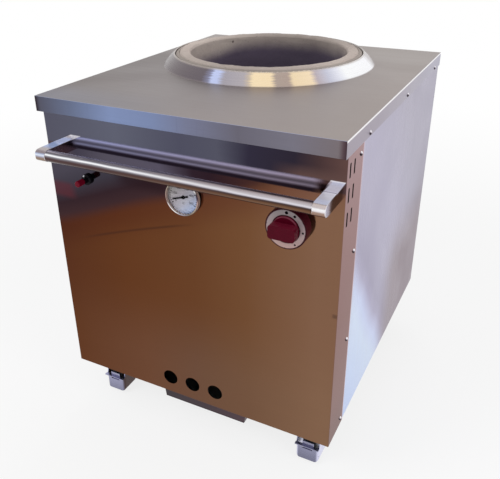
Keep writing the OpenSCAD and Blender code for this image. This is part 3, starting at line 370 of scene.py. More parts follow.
def cover_tone(mat):
    """Painted reflections: warm grey above, blue-grey on the turned-down front edge, paler on the flanges; painted
    highlights along the folds.
    """
    x, y, up = mat.axis("X"), mat.axis("Y"), mat.normal("Z")
    # painted reflections, darker to the left and towards the front left
    top = along(mat, x, -0.35, 0.35,
                (-0.34, 128, 120, 119), (-0.1, 141, 133, 133), (0.1, 149, 139, 138), (0.34, 158, 147, 143))
    top = mat.mix(mat.span(y, 0.05, 0.36, smooth=True), top, srgb(160, 151, 147))
    top = mat.mix(mat.times(mat.span(y, -0.26, FRONT, smooth=True), mat.span(x, 0.0, -0.3)),
                  top, srgb(131, 128, 137))
    lip = along(mat, x, -0.351, 0.351,
                (-0.348, 50, 38, 46), (-0.338, 92, 92, 108), (-0.25, 112, 122, 150), (-0.15, 136, 152, 192),
                (-0.05, 131, 145, 182), (0.03, 126, 130, 156), (0.14, 112, 109, 122), (0.25, 126, 123, 136),
                (0.335, 128, 118, 122), (0.343, 96, 78, 84), (0.351, 66, 48, 56))
    flange = along(mat, y, FRONT, REAR, (FRONT, 168, 158, 171), (0.0, 172, 165, 178), (REAR, 184, 182, 198))
    side = mat.span(mat.math("ABSOLUTE", mat.normal("X")), 0.35, 0.65)
    low = mat.mix(side, lip, flange)
    # painted highlights along the folds and along the flanges' top edge
    edge = mat.mix(side, srgb(178, 186, 214), srgb(255, 253, 255))
    glint = mat.times(side, mat.span(mat.axis("Z"), TOP - 0.0044, TOP - 0.0032))
    tone = mat.mix(mat.math("MAXIMUM", mat.span(up, 0.12, 0.5), glint), low, edge)
    return mat.mix(mat.span(up, 0.72, 0.97), tone, top)


brushed("cover", cover_tone, "X", 0.32, 0.44, 2.2, soil=0.05, share=0.07)


# Painted reflections of the bar and of the arms' tops on the front sheet: their borders, and how much x
# changes with z along the two arms
BAR_REFLECTION_X, BAR_REFLECTION_Z = (-0.275, 0.296), (0.7335, 0.7615)
ARM_REFLECTIONS = ((-2.2, -0.3315, -0.304), (-0.6, 0.304, 0.3325))
ARM_REFLECTION_TOP = 0.7625


def painted_bar_reflection(mat):
    """Where the bar's blurred reflection is painted on the sheet."""
    height = between(mat, mat.axis("Z"), *BAR_REFLECTION_Z, 0.003)
    return mat.times(height, between(mat, mat.axis("X"), *BAR_REFLECTION_X, 0.03))


def painted_arm_reflection(mat):
    """Where reflections of the tops of the handle's two arms are painted on the sheet."""
    x, z = mat.axis("X"), mat.axis("Z")
    above = mat.math("SUBTRACT", z, ARM_TOP)
    arms = (between(mat, mat.math("MULTIPLY_ADD", above, slope, x), low, high, 0.002)
            for slope, low, high in ARM_REFLECTIONS)
    return mat.times(mat.math("ADD", *arms), between(mat, z, ARM_TOP - 0.004, ARM_REFLECTION_TOP, 0.002))


def front_tone(mat):
    """Steel mirror sheet, its colours painted reflections: red-brown to the left, tan to the right, slate above
    the bar; rosy grey returns.
    """
    x, z = mat.axis("X"), mat.axis("Z")
    sway = mat.span(mat.noise(2.4, 2, 0.5, stretch=(1, 1, 0.4)), 0.3, 0.7, -1.0, 1.0)
    mottle = mat.span(mat.noise(7, 3, 0.55, stretch=(0.5, 1, 1.4), distort=0.5), 0.3, 0.7, -1.0, 1.0)
    at = mat.math("MULTIPLY_ADD", sway, 0.02, x)
    # painted reflection: red-brown to the left, tan to the right, warmer at the foot
    body = along(mat, at, -0.36, 0.36,
                 (-0.35, 88, 48, 28), (-0.17, 101, 59, 33), (0.02, 107, 67, 41), (0.16, 117, 79, 52),
                 (0.31, 132, 97, 75))
    foot = along(mat, at, -0.36, 0.36,
                 (-0.35, 98, 57, 32), (-0.14, 111, 73, 52), (0.02, 112, 80, 62), (0.16, 119, 87, 66),
                 (0.33, 135, 102, 79))
    body = mat.mix(mat.span(z, 0.44, 0.20, smooth=True), body, foot)

    # painted reflection, dark over a line that rises to the right, with a darker pool and a redder band under the
    # line; and a reddish patch at the left end
    rise = mat.math("SUBTRACT", z, mat.math("MULTIPLY_ADD", x, 0.36, 0.672))
    rise = mat.math("MULTIPLY_ADD", sway, 0.006, rise)
    redder = mat.mix(1.0, body, (0.8, 0.69, 0.8, 1), kind="MULTIPLY")
    body = mat.mix(mat.span(rise, -0.10, -0.012, smooth=True), body, redder)
    dusk = along(mat, rise, -0.02, 0.12,
                 (-0.02, 74, 45, 42), (0.012, 62, 42, 45), (0.04, 52, 36, 42), (0.075, 60, 56, 66),
                 (0.12, 74, 70, 82))
    face = mat.mix(mat.span(rise, -0.022, 0.014, smooth=True), body, dusk)
    pool = mat.times(between(mat, x, -0.16, -0.03, 0.05), between(mat, z, 0.668, 0.70, 0.03))
    face = touched(mat, face, pool, 0.7, 42, 26, 31)
    patch = mat.times(between(mat, x, -0.36, -0.292, 0.03), between(mat, z, 0.608, 0.643, 0.016))
    face = touched(mat, face, patch, 0.55, 98, 42, 50)

    # painted dark reflection in the field just under the bar's painted reflection, with a dark wedge at the right
    deep = along(mat, mat.math("MULTIPLY_ADD", mottle, 0.02, x), -0.36, 0.36,
                 (-0.34, 84, 70, 76), (-0.27, 66, 62, 76), (-0.20, 84, 79, 92), (-0.05, 88, 82, 98),
                 (0.035, 48, 34, 44), (0.08, 46, 30, 38), (0.19, 70, 43, 39), (0.235, 104, 70, 44),
                 (0.29, 122, 86, 54), (0.33, 104, 78, 62))
    wedge = mat.times(between(mat, x, 0.19, 0.31, 0.03), mat.span(z, 0.7275, 0.7225))
    deep = touched(mat, deep, wedge, 0.8, 44, 20, 24)
    behind = mat.times(mat.span(z, 0.692, 0.706), mat.span(rise, -0.03, 0.012, smooth=True))
    face = mat.mix(behind, face, deep)

    # painted reflections: slate above, and the reflections of the bar and the arms
    slate = along(mat, mat.math("MULTIPLY_ADD", mottle, 0.012, x), -0.36, 0.36,
                  (-0.34, 86, 86, 101), (-0.16, 96, 98, 114), (0.0, 80, 80, 97), (0.09, 84, 84, 99),
                  (0.16, 50, 46, 62), (0.24, 46, 40, 52), (0.29, 72, 54, 55), (0.345, 98, 72, 68))
    warm = mat.times(mat.span(z, 0.785, 0.76), mat.span(x, 0.20, 0.26))
    slate = mat.mix(warm, slate, srgb(98, 74, 70))
    face = mat.mix(mat.span(z, 0.7385, 0.7415), face, slate)
    image = along(mat, mat.math("MULTIPLY_ADD", mottle, 0.0006, z), 0.732, 0.763,
                  (0.732, 66, 58, 70), (0.7345, 48, 40, 52), (0.7375, 40, 32, 44), (0.7405, 60, 50, 64),
                  (0.745, 158, 156, 180), (0.7495, 100, 96, 112), (0.7525, 118, 114, 130),
                  (0.7575, 190, 190, 220), (0.763, 104, 104, 124))
    cast = mat.mix(mat.span(x, -0.2, 0.25), (0.94, 0.98, 1.1, 1), (1.05, 0.9, 0.86, 1))
    image = mat.mix(1.0, image, cast, kind="MULTIPLY")
    face = mat.mix(painted_bar_reflection(mat), face, image)
    face = mat.mix(painted_arm_reflection(mat), face, srgb(240, 238, 244))

    # a thin dark curve at the left, and a small dark spot by the right edge
    arc = mat.math("MULTIPLY_ADD", mat.times(x, x), -0.15, mat.math("MULTIPLY_ADD", x, 0.29, 0.6017))
    off = mat.math("ABSOLUTE", mat.math("SUBTRACT", z, arc))
    trace = mat.span(off, 0.0, 0.005, 1.0, 0.0, smooth=True)
    trace = mat.times(trace, between(mat, x, -0.26, 0.0, 0.1))
    face = touched(mat, face, trace, 0.5, 60, 36, 30)
    dark_spot = mat.times(between(mat, x, 0.338, 0.349, 0.006), between(mat, z, 0.470, 0.479, 0.005))
    face = touched(mat, face, dark_spot, 0.5, 74, 54, 48)

    # the returns round the corners, a painted reflection that darkens downwards, with a painted highlight along
    # the rear border
    strip = along(mat, z, UNDER, TOP,
                  (UNDER, 88, 54, 48), (0.24, 116, 81, 75), (0.45, 124, 88, 84), (0.62, 142, 110, 110),
                  (TOP, 166, 142, 147))
    border = mat.span(mat.axis("Y"), PANEL_HIGH.y - 0.005, PANEL_HIGH.y - 0.0035)
    strip = mat.mix(border, strip, srgb(206, 188, 200))
    return mat.mix(mat.span(mat.math("ABSOLUTE", mat.normal("X")), 0.3, 0.7), face, strip)


brushed("front", front_tone, "X", 0.06, 0.12, 2.0, 0.000004, 0.03, soil=0.03, waves=0.0009,
        satin=painted_bar_reflection, Specular_Tint=(0.83, 0.72, 0.71, 1))


def side_tone(mat):
    """Painted reflections: lavender grey, pale blue low down towards the front, dim low down towards the back;
    plainer on the left side.
    """
    z, y = mat.axis("Z"), mat.axis("Y")
    sway = mat.span(mat.noise(3, 2, 0.5), 0.3, 0.7, -0.02, 0.02)
    slant = mat.math("ADD", sway, mat.math("MULTIPLY_ADD", y, 1.15, mat.math("ADD", z, 0.30)))
    pale = along(mat, slant, 0.1, 1.2,
                 (0.1, 206, 222, 255), (0.40, 224, 238, 255), (0.46, 216, 226, 252), (0.495, 202, 204, 230),
                 (0.53, 180, 174, 198), (0.575, 170, 163, 184), (0.72, 184, 178, 196), (0.85, 184, 178, 196),
                 (1.2, 170, 164, 176))
    dim = mat.times(mat.span(y, -0.04, 0.14, smooth=True), mat.span(z, 0.54, 0.32, smooth=True))
    tone = touched(mat, pale, dim, 0.85, 138, 115, 112)
    # a lighter painted reflection by the front edge, higher up
    edge = mat.times(mat.span(y, -0.25, -0.30, smooth=True), mat.span(z, 0.36, 0.46))
    tone = touched(mat, tone, edge, 0.8, 204, 197, 211)
    return mat.mix(mat.span(mat.axis("X"), -0.1, 0.1, 0.6, 0.0), tone, srgb(178, 172, 190))


brushed("side", side_tone, "Z", 0.22, 0.34, 2.4, soil=0.04, share=0.06,
        Specular_Tint=(0.93, 0.93, 1.0, 1))
brushed("rear", srgb(182, 178, 186), "Z", 0.26, 0.40)
brushed("sheet", srgb(150, 150, 154), "X", 0.34, 0.5)
brushed("frame", srgb(118, 118, 122), "Z", 0.4, 0.6)
brushed("zinc", srgb(170, 172, 178), "Z", 0.3, 0.48, share=0.2)
brushed("steel", srgb(182, 178, 180), "X", 0.16, 0.28, share=0.1)


def screw_tone(mat):
    """Domed head with painted light and shade: bright above, dark where it turns down and to the front."""
    look = mat.math("MULTIPLY_ADD", mat.normal("Y"), 0.5, mat.times(mat.normal("Z"), 0.7))
    return along(mat, look, -0.6, 0.6,
                 (-0.5, 44, 34, 42), (-0.22, 70, 58, 66), (0.0, 196, 188, 198), (0.3, 252, 250, 255))


brushed("screw", screw_tone, "Y", 0.2, 0.32, share=0.06)


def turned(mat):
    """How far a face of the bar's metal is turned up from the front, in degrees."""
    front = mat.times(mat.normal("Y"), -1.0)
    return mat.times(mat.math("ARCTAN2", mat.normal("Z"), front), 180 / math.pi)


def bar_tone(mat):
    """Polished tube with painted reflections: long bands of warm grey, white and dark, as a round rail shows."""
    x = mat.axis("X")
    turn = mat.math("ADD", turned(mat), mat.span(mat.noise(9, 2, 0.5, stretch=(1, 0, 0)), 0.3, 0.7, -2.5, 2.5))
    left = along(mat, turn, -180, 180,
                 (-180, 180, 178, 190), (-120, 60, 50, 58), (-46, 62, 49, 54), (-28, 82, 62, 60), (-2, 82, 60, 60),
                 (8, 102, 90, 94), (18, 133, 129, 134), (25, 185, 184, 192), (30, 252, 253, 255),
                 (37, 252, 253, 255), (44, 168, 168, 176), (53, 98, 94, 102), (60, 104, 98, 106),
                 (68, 146, 140, 150), (84, 192, 184, 202), (110, 200, 196, 216), (180, 180, 178, 190))
    right = along(mat, turn, -180, 180,
                  (-180, 180, 172, 178), (-120, 60, 40, 40), (-60, 60, 32, 28), (-28, 118, 87, 65),
                  (-14, 116, 84, 62), (4, 72, 52, 46), (12, 92, 82, 86), (19, 205, 200, 208),
                  (27, 222, 218, 228), (36, 192, 186, 190), (50, 180, 170, 175), (64, 154, 140, 142),
                  (80, 116, 100, 108), (90, 116, 100, 108), (100, 200, 188, 196), (180, 180, 172, 178))
    return mat.mix(mat.span(x, -0.16, 0.2), left, right)


brushed("bar", bar_tone, "X", 0.12, 0.2, share=0.05, soil=0.04,
        satin=lambda mat: mat.span(turned(mat), 62, 76, 0.0, 0.75))


def bracket_tone(mat):
    """Polished casting with painted reflections: pale blue above, banded nose, painted highlights on the rims."""
    x = mat.axis("X")
    turn = turned(mat)
    left = along(mat, turn, -180, 180,
                 (-180, 100, 94, 108), (-60, 110, 78, 62), (-24, 146, 122, 100), (-4, 158, 142, 140),
                 (8, 190, 196, 220), (18, 230, 238, 252), (30, 176, 186, 214), (42, 142, 132, 138),
                 (66, 150, 138, 142), (84, 132, 142, 172), (96, 136, 150, 190), (180, 100, 94, 108))
    right = along(mat, turn, -180, 180,
                  (-180, 110, 100, 104), (-60, 122, 90, 78), (-24, 166, 134, 118), (-6, 176, 150, 138),
                  (4, 236, 230, 234), (20, 252, 252, 255), (32, 200, 190, 192), (60, 200, 186, 182),
                  (72, 134, 122, 126), (84, 160, 160, 186), (96, 170, 172, 198), (180, 110, 100, 104))
    side = mat.span(x, -0.1, 0.1)
    band = mat.mix(side, left, right)
    inward = mat.span(mat.axis("Y"), BAR.y + 0.006, BAR.y + 0.02)
    top = mat.mix(side, mat.mix(inward, srgb(190, 178, 178), srgb(180, 198, 245)),
                  mat.mix(inward, srgb(218, 222, 246), srgb(226, 224, 238)))
    band = mat.mix(mat.span(mat.normal("Z"), 0.9, 0.98), band, top)
    face = mat.mix(side, srgb(196, 168, 172), mat.mix(inward, srgb(198, 196, 216), srgb(104, 92, 98)))
    flat = mat.math("ABSOLUTE", mat.normal("X"))
    tone = mat.mix(mat.span(flat, 0.9, 0.98), band, face)
    # a painted highlight along the rounded rims
    rim = mat.times(between(mat, flat, 0.35, 0.93, 0.12), 0.6)
    return mat.mix(rim, tone, srgb(244, 244, 250))


brushed("bracket", bracket_tone, "X", 0.16, 0.26, share=0.04, soil=0.04,
        matt=lambda mat: mat.span(mat.normal("Z"), 0.8, 0.95))
plain("cast", srgb(60, 58, 58), 0.7, 0.4, 80, 0.0006)
plain("wool", srgb(196, 186, 160), 0.95, 0, 120, 0.002)
plain("brass", srgb(190, 150, 84), 0.34, 1, 60, 0.0001)
plain("pipe", srgb(176, 128, 96), 0.36, 1, 60, 0.0001)


def button_tone(mat):
    """Red cap on a black collar."""
    return mat.mix(mat.span(mat.axis("Y"), FRONT - 0.0185, FRONT - 0.0175), srgb(108, 6, 32), srgb(12, 9, 13))


def knob_tone(mat):
    """Dark red plastic, with painted highlights on the faces and rounded ridges that turn upwards."""
    up, out = mat.normal("Z"), mat.times(mat.normal("Y"), -1)
    ridge = mat.times(mat.span(up, 0.3, 0.6), mat.span(out, 0.35, 0.7))
    tone = mat.mix(mat.span(up, 0.5, 0.95), srgb(82, 2, 26), srgb(112, 24, 46))
    return touched(mat, tone, ridge, 0.7, 146, 76, 92)


def housing_tone(mat):
    """Dark red plastic with painted light and shade: darker on the face than on the wall that stands out of the
    panel.
    """
    return mat.mix(mat.span(mat.math("ABSOLUTE", mat.normal("Y")), 0.25, 0.6), srgb(66, 6, 26), srgb(56, 4, 18))


def bezel_glint(mat):
    """Black with one small painted highlight."""
    spot = mat.far_from((BUTTON.x - 0.004, FRONT - 0.009, BUTTON.z + 0.0095))
    return mat.mix(mat.span(spot, 0.0016, 0.0034, 1.0, 0.0, smooth=True), srgb(12, 10, 16), srgb(236, 236, 246))


plain("black", bezel_glint, 0.26, 0, 200, 0.0001, Specular_IOR_Level=0.1)
plain("mark", srgb(6, 4, 8), 0.6, 0, 200, 0.00002, Specular_IOR_Level=0.05)
plain("red", button_tone, 0.3, 0, 160, 0.00006, 0.1, Specular_IOR_Level=0.1)
plain("housing", housing_tone, 0.3, 0, 160, 0.00006, 0.12, Specular_IOR_Level=0.08)
plain("knob_red", knob_tone, 0.24, 0, 160, 0.00006, 0.12, Specular_IOR_Level=0.08)


def ring_tone(mat):
    """Printed ring: grey above, warmer below, with a dark red border."""
    tone = along(mat, mat.axis("Z"), RING.z - 0.04, RING.z + 0.04,
                 (RING.z - 0.04, 196, 162, 156), (RING.z, 176, 156, 158), (RING.z + 0.04, 150, 142, 144))
    edge = (RING_HIGH.x - RING_LOW.x) / 2
    return mat.mix(mat.span(mat.far_from((RING.x, RING_LOW.y, RING.z)), edge - 0.0016, edge - 0.0008),
                   tone, srgb(60, 6, 20))


plain("ring", ring_tone, 0.38, 0.3, 160, 0.00005, 0.06)
plain("tyre", srgb(40, 40, 44), 0.62, 0, 150, 0.0003)
plain("hub", srgb(150, 152, 160), 0.4, 0, 100, 0.0001)
plain("caster", srgb(150, 148, 158), 0.24, 1, 90, 0.00008, 0.14)


def tray_tone(mat):
    """Dull steel, darker along its lower edge."""
    tone = along(mat, mat.axis("X"), -0.2, 0.2, (-0.15, 68, 63, 66), (0.1, 90, 74, 80))
    low = mat.span(mat.axis("Z"), TRAY_FOOT + 0.004, TRAY_FOOT + 0.001)
    return touched(mat, tone, low, 0.7, 40, 24, 30)


brushed("tray", tray_tone, "X", 0.22, 0.38)


def pedal_tone(mat):
    """Pressed pedal with painted light and shade: grey-blue front, darker low down and on the right one; tan flank
    on the left one, pale flank on the right one.
    """
    flat = mat.math("ABSOLUTE", mat.normal("X"))
    right = mat.span(mat.axis("X"), -0.1, 0.1)
    front = along(mat, mat.axis("Z"), 0.0, 0.11,
                  (0.0, 132, 132, 156), (0.045, 164, 164, 192), (0.11, 186, 186, 212))
    front = mat.mix(right, front, shaded(mat, front, 0.8))
    flank = along(mat, mat.axis("Y"), -0.40, -0.32,
                  (-0.38, 150, 126, 118), (-0.366, 108, 88, 84), (-0.34, 82, 66, 64))
    return mat.mix(mat.span(flat, 0.3, 0.8), front, mat.mix(right, flank, srgb(226, 226, 252)))


brushed("pedal", pedal_tone, "X", 0.18, 0.3, share=0.06)


# A small dark spot on the inside of the mouth, by its distance from the pot's axis and its angle round it
MOUTH_SPOT_OUT, MOUTH_SPOT_ANGLE = 0.2015, 2.523
MOUTH_SPOT = (POT.x + MOUTH_SPOT_OUT * math.cos(MOUTH_SPOT_ANGLE), POT.y + MOUTH_SPOT_OUT * math.sin(MOUTH_SPOT_ANGLE), RIM - 0.0145)


def clay(name, pale, warm, low, high, deep):
    """Fired clay: pores, grit and hairline cracks, darker towards the bottom between two heights on the inside of
    the mouth, with painted light and shade round it.
    """
    mat = Mat(name, roughness=0.9)
    grit = mat.noise(180, 5, 0.65)
    cloud = mat.noise(9, 4, 0.6)
    pores = mat.cells(260)
    crack = mat.span(mat.cells(14, "DISTANCE_TO_EDGE"), 0.0, 0.006, 1.0, 0.0)
    crack = mat.times(crack, mat.span(mat.noise(5, 2), 0.56, 0.66))
    tone_and_reflection = mat.mix(mat.span(cloud, 0.25, 0.75), pale, warm)
    turn = mat.angle()
    left = mat.span(mat.times(mat.math("COSINE", turn), -1), 0.78, 1.0, 0.0, 0.022)
    height = mat.math("ADD", left, mat.math("SUBTRACT", mat.axis("Z"), 0.008))
    height = mat.math("MULTIPLY_ADD", cloud, 0.016, height)
    # darker below a wavering height that lies lower on the left
    darker_below = mat.span(height, high, low, smooth=True)
    tone = mat.mix(darker_below, tone_and_reflection, deep)
    tone = mat.mix(mat.span(grit, 0.60, 0.74, 0.0, 0.6), tone, srgb(98, 88, 84))
    tone = touched(mat, tone, crack, 0.22, 70, 60, 58)
    mouth_spot = mat.span(mat.far_from(MOUTH_SPOT), 0.0022, 0.0046, 0.7, 0.0, smooth=True)
    tone = mat.mix(mouth_spot, tone, srgb(64, 54, 56))
    # painted light and shade round the mouth: lightest on the left, light on the right, darker to the front,
    # darkest at the back
    twice = mat.math("COSINE", mat.times(turn, 2))
    glow = mat.times(mat.span(left, 0.0, 0.022), 0.3)
    twice = mat.math("ADD", twice, glow)
    shade = mat.math("MULTIPLY_ADD", twice, 0.1775, 0.9125)
    shade = mat.math("MULTIPLY_ADD", mat.math("SINE", turn), -0.075, shade)
    tone = shaded(mat, tone, shade)
    pit = mat.span(pores, 0.0, 0.28)
    relief = mat.math("ADD", mat.times(grit, 0.7), mat.times(pit, 0.5))
    mat.finish(colour=tone, roughness=mat.span(grit, 0.3, 0.7, 0.82, 0.98), normal=mat.bump(relief, 0.0012))


clay("clay", srgb(188, 174, 167), srgb(206, 193, 184), 0.826, 0.872, srgb(102, 91, 110))
clay("mortar", srgb(158, 147, 141), srgb(174, 164, 156), 0.5, 0.51, srgb(70, 62, 66))


def spun(name):
    """Spun collar: turning lines round the mouth, with painted reflections in straw, blue and white patches round
    it.
    """
    mat = Mat(name, metallic=1.0)
    r, angle = mat.radius(), mat.angle()
    combine = mat.nodes.new("ShaderNodeCombineXYZ")
    mat.links.new(mat.times(r, 900), combine.inputs[0])
    mat.links.new(mat.times(angle, 0.7), combine.inputs[1])
    mat.links.new(mat.times(mat.axis("Z"), 900), combine.inputs[2])
    rings = mat.noise(1.0, 3, 0.6, source=combine.outputs[0])
    ragged = mat.span(mat.noise(0.35, 2, 0.6, source=combine.outputs[0]), 0.3, 0.7, -0.015, 0.015)
    # painted reflections round the collar: brownish grey at the left, blue at the front, straw patches, white to
    # the right
    tone_and_reflection = along(mat, mat.math("ADD", angle, ragged), -3.2, 0.6,
                 (-3.2, 120, 110, 108), (-2.4, 114, 105, 107), (-1.76, 109, 101, 107), (-1.69, 136, 136, 160),
                 (-1.655, 196, 206, 242), (-1.60, 194, 204, 240), (-1.545, 168, 163, 172), (-1.36, 180, 173, 178),
                 (-1.31, 205, 188, 168), (-1.28, 248, 226, 188), (-1.12, 247, 224, 186), (-1.08, 178, 162, 152),
                 (-0.965, 178, 160, 150), (-0.93, 240, 218, 182), (-0.765, 246, 224, 190), (-0.71, 190, 178, 184),
                 (-0.59, 202, 203, 219), (-0.47, 232, 233, 243), (-0.38, 252, 253, 254), (0.08, 250, 250, 254),
                 (0.24, 190, 184, 186), (0.6, 164, 156, 154))
    behind = mat.math("MAXIMUM", mat.span(angle, 0.5, 0.7), mat.span(angle, -2.9, -3.1))
    tone = mat.mix(behind, tone_and_reflection, srgb(168, 160, 160))
    height = mat.axis("Z")
    bead = mat.span(height, TOP + 0.0245, TOP + 0.0262)
    tone = touched(mat, tone, bead, 0.55, 196, 184, 176)
    seat = mat.span(height, TOP + 0.0022, TOP + 0.0004)
    tone = touched(mat, tone, seat, 0.5, 150, 140, 140)
    mat.finish(
        colour=shaded(mat, tone, mat.span(rings, 0.3, 0.7, 0.92, 1.03)),
        roughness=wear(mat, 0.16, 0.28, rings),
        normal=mat.bump(rings, 0.00003, 0.6),
    )


spun("collar")

glass = Mat("lens", roughness=0.03, colour=(1, 1, 1, 1), Transmission_Weight=1.0, IOR=1.12)
glass.finish(roughness=glass.span(glass.noise(40, 3), 0.4, 0.8, 0.01, 0.06))


def dial_tone(mat):
    """Printed dial: white, with painted shade towards the upper left and a painted blue light low on the right."""
    x, z = mat.axis("X"), mat.axis("Z")
    across = mat.math("SUBTRACT", mat.math("SUBTRACT", x, GAUGE.x), mat.math("SUBTRACT", z, GAUGE.z))
    return along(mat, across, -0.05, 0.05,
                 (-0.05, 160, 156, 152), (-0.01, 172, 165, 174), (0.015, 180, 180, 194), (0.05, 170, 188, 226))


def printed():
    """The dial's enamel."""
    mat = Mat("dial", roughness=0.45)
    mat.finish(
        colour=dial_tone(mat),
        roughness=mat.span(mat.noise(500, 2), 0.3, 0.7, 0.36, 0.5),
        normal=mat.bump(mat.noise(900, 2), 0.00002, 0.4),
    )


printed()


def bezel_tone(mat):
    """Polished bezel with painted reflections: bright low on the left, warm on the right, dark between."""
    across = mat.math("SUBTRACT", mat.axis("X"), GAUGE.x)
    rise = mat.math("SUBTRACT", mat.axis("Z"), GAUGE.z)
    turn = mat.times(mat.math("ARCTAN2", rise, across), 180 / math.pi)
    front = along(mat, turn, -180, 180,
                  (-180, 178, 150, 140), (-160, 150, 128, 122), (-150, 236, 226, 226), (-118, 252, 248, 248),
                  (-96, 176, 172, 188), (-64, 132, 120, 112), (-40, 176, 160, 142), (-5, 196, 164, 158),
                  (8, 92, 78, 96), (22, 60, 48, 60), (30, 236, 234, 236), (44, 240, 238, 238), (56, 120, 104, 110),
                  (100, 168, 150, 146), (140, 156, 148, 134), (180, 178, 150, 140))
    out = mat.math("ABSOLUTE", mat.normal("Y"))
    # a pale side, and a painted dark reflection where the face rounds over to it
    tone = mat.mix(mat.span(out, 0.3, 0.1), front, srgb(206, 182, 172))
    return mat.mix(mat.times(between(mat, out, 0.25, 0.85, 0.1), 0.6), tone, srgb(60, 48, 50))


brushed("bezel", bezel_tone, "X", 0.12, 0.2, share=0.03,
        matt=lambda mat: mat.span(mat.math("ABSOLUTE", mat.normal("Y")), 0.3, 0.1, 0.0, 0.7))

# The nodes of each material
NODES_OF = {
    "cover": "top_cover", "front": "front_panel", "side": "side_panel_left side_panel_right",
    "rear": "rear_panel", "sheet": "base_plate bulkhead pot_drum",
    "frame": "base_rails upper_frame pot_stand tray_runners burner_bracket", "screw": "panel_screws",
    "collar": "collar", "mortar": "mortar_ring", "clay": "clay_pot", "wool": "insulation",
    "cast": "baffle_plate burner", "bar": "handle_bar", "bracket": "handle_bracket_left handle_bracket_right",
    "zinc": "handle_bolts locknuts valve_spindle caster_plates caster_bolts", "bezel": "thermometer_case",
    "dial": "thermometer_dial", "mark": "thermometer_needle", "lens": "thermometer_lens",
    "steel": "thermometer_stem", "housing": "knob_housing", "ring": "dial_ring", "knob_red": "knob",
    "brass": "valve_plug gas_valve gas_inlet pilot_assembly", "pipe": "supply_pipe burner_pipe pilot_lines",
    "black": "igniter_body", "red": "igniter_button", "tray": "ash_tray",
}
BY_NODE = {node: material for material, nodes in NODES_OF.items() for node in nodes.split()}
for corner in CASTORS:
    BY_NODE["fork_" + corner] = "caster"
    BY_NODE["hub_" + corner] = "hub"
    BY_NODE["tyre_" + corner] = "tyre"
BY_NODE["pedal_fl"] = BY_NODE["pedal_fr"] = "pedal"

for name, obj in NODES.items():
    obj.data.materials.clear()
    obj.data.materials.append(M[BY_NODE[name]])

# ---------------------------------------------------------------- pieces

CREASE = math.radians(33)  # two faces that meet at a sharper angle keep a hard edge
CORNER = math.radians(35)  # a sharper outer corner is rounded
ROOM = 2.2  # how many widths of its rounding a face must reach from the corner


def place(name, bm, material, body, *stands_for, of=None):
    """A finished piece from a bmesh: smooth where it bends gently, creased where it doesn't."""
    for face in bm.faces:
        face.smooth = True
    for edge in bm.edges:
        if len(edge.link_faces) == 2:
            edge.smooth = edge.calc_face_angle(0) < CREASE
    mesh = bpy.data.meshes.new(name)
    bm.to_mesh(mesh)
    bm.free()
    obj = bpy.data.objects.new(name, mesh)
    bpy.context.scene.collection.objects.link(obj)
    mesh.materials.append(M[material])
    even = obj.modifiers.new("even", "WEIGHTED_NORMAL")
    even.keep_sharp = True
    even.weight = 100
    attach(obj, body)
    if stands_for:
        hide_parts(*stands_for)


def reach(face, edge):
    """How far a face goes on from one of its edges."""
    start = edge.verts[0].co
    line = (edge.verts[1].co - start).normalized()
    return max(((v.co - start) - line * (v.co - start).dot(line)).length for v in face.verts)


def rounded(node, *widths):
    """A CAD node's surface with its outer corners rounded, as folded, cast and moulded pieces are.

    Each width in turn rounds the corners whose faces are wide enough for it.
    """
    source = NODES[node].data
    mesh = bpy.data.meshes.new("source")
    mesh.from_pydata([v.co for v in source.vertices], [], [p.vertices[:] for p in source.polygons])
    bm = bmesh.new()
    bm.from_mesh(mesh)
    bpy.data.meshes.remove(mesh)
    bmesh.ops.remove_doubles(bm, verts=bm.verts, dist=2e-6)
    bmesh.ops.dissolve_limit(bm, angle_limit=math.radians(0.3), verts=bm.verts, edges=bm.edges)
    for width in widths:
        picked = []
        for edge in bm.edges:
            if len(edge.link_faces) != 2 or edge.calc_length() < 1e-6:
                continue
            if edge.calc_face_angle_signed(0) > CORNER:
                if min(reach(face, edge) for face in edge.link_faces) > ROOM * width:
                    picked.append(edge)
        bmesh.ops.bevel(bm, geom=picked, offset=width, offset_type="OFFSET", segments=3 if width < 0.004 else 6,
                        profile=0.5, affect="EDGES", clamp_overlap=True)
    place(node + ".rounded", bm, BY_NODE[node], NODES[node]["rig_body"], node)


WIDTHS = {
    "top_cover": 0.0022, "front_panel": 0.0014, "side_panel_left": 0.0008, "side_panel_right": 0.0008,
    "rear_panel": 0.0008, "handle_bracket_left": 0.0014, "handle_bracket_right": 0.0014,
    "knob_housing": 0.0012, "handle_bar": 0.0004, "igniter_body": 0.0012, "igniter_button": 0.001,
    "ash_tray": 0.0008, "pedal_fl": 0.0009, "pedal_fr": 0.0009, "thermometer_case": 0.0004,
    "gas_inlet": 0.0005,
}
for corner in CASTORS:
    WIDTHS["fork_" + corner] = 0.0007
    WIDTHS["hub_" + corner] = 0.0006
    WIDTHS["tyre_" + corner] = 0.0012
for node, width in WIDTHS.items():
    rounded(node, width)
rounded("knob", 0.008, 0.0015)


SEGMENTS = 288  # round the pot
UNEVEN = 0.0012  # how far the hand's unevenness moves its inside, in metres
WAVE = 26.0  # waves of the unevenness to a metre
GRIT = 240  # the same for the fine grain
THROWING = 0.00022  # height of the potter's ridges, in metres


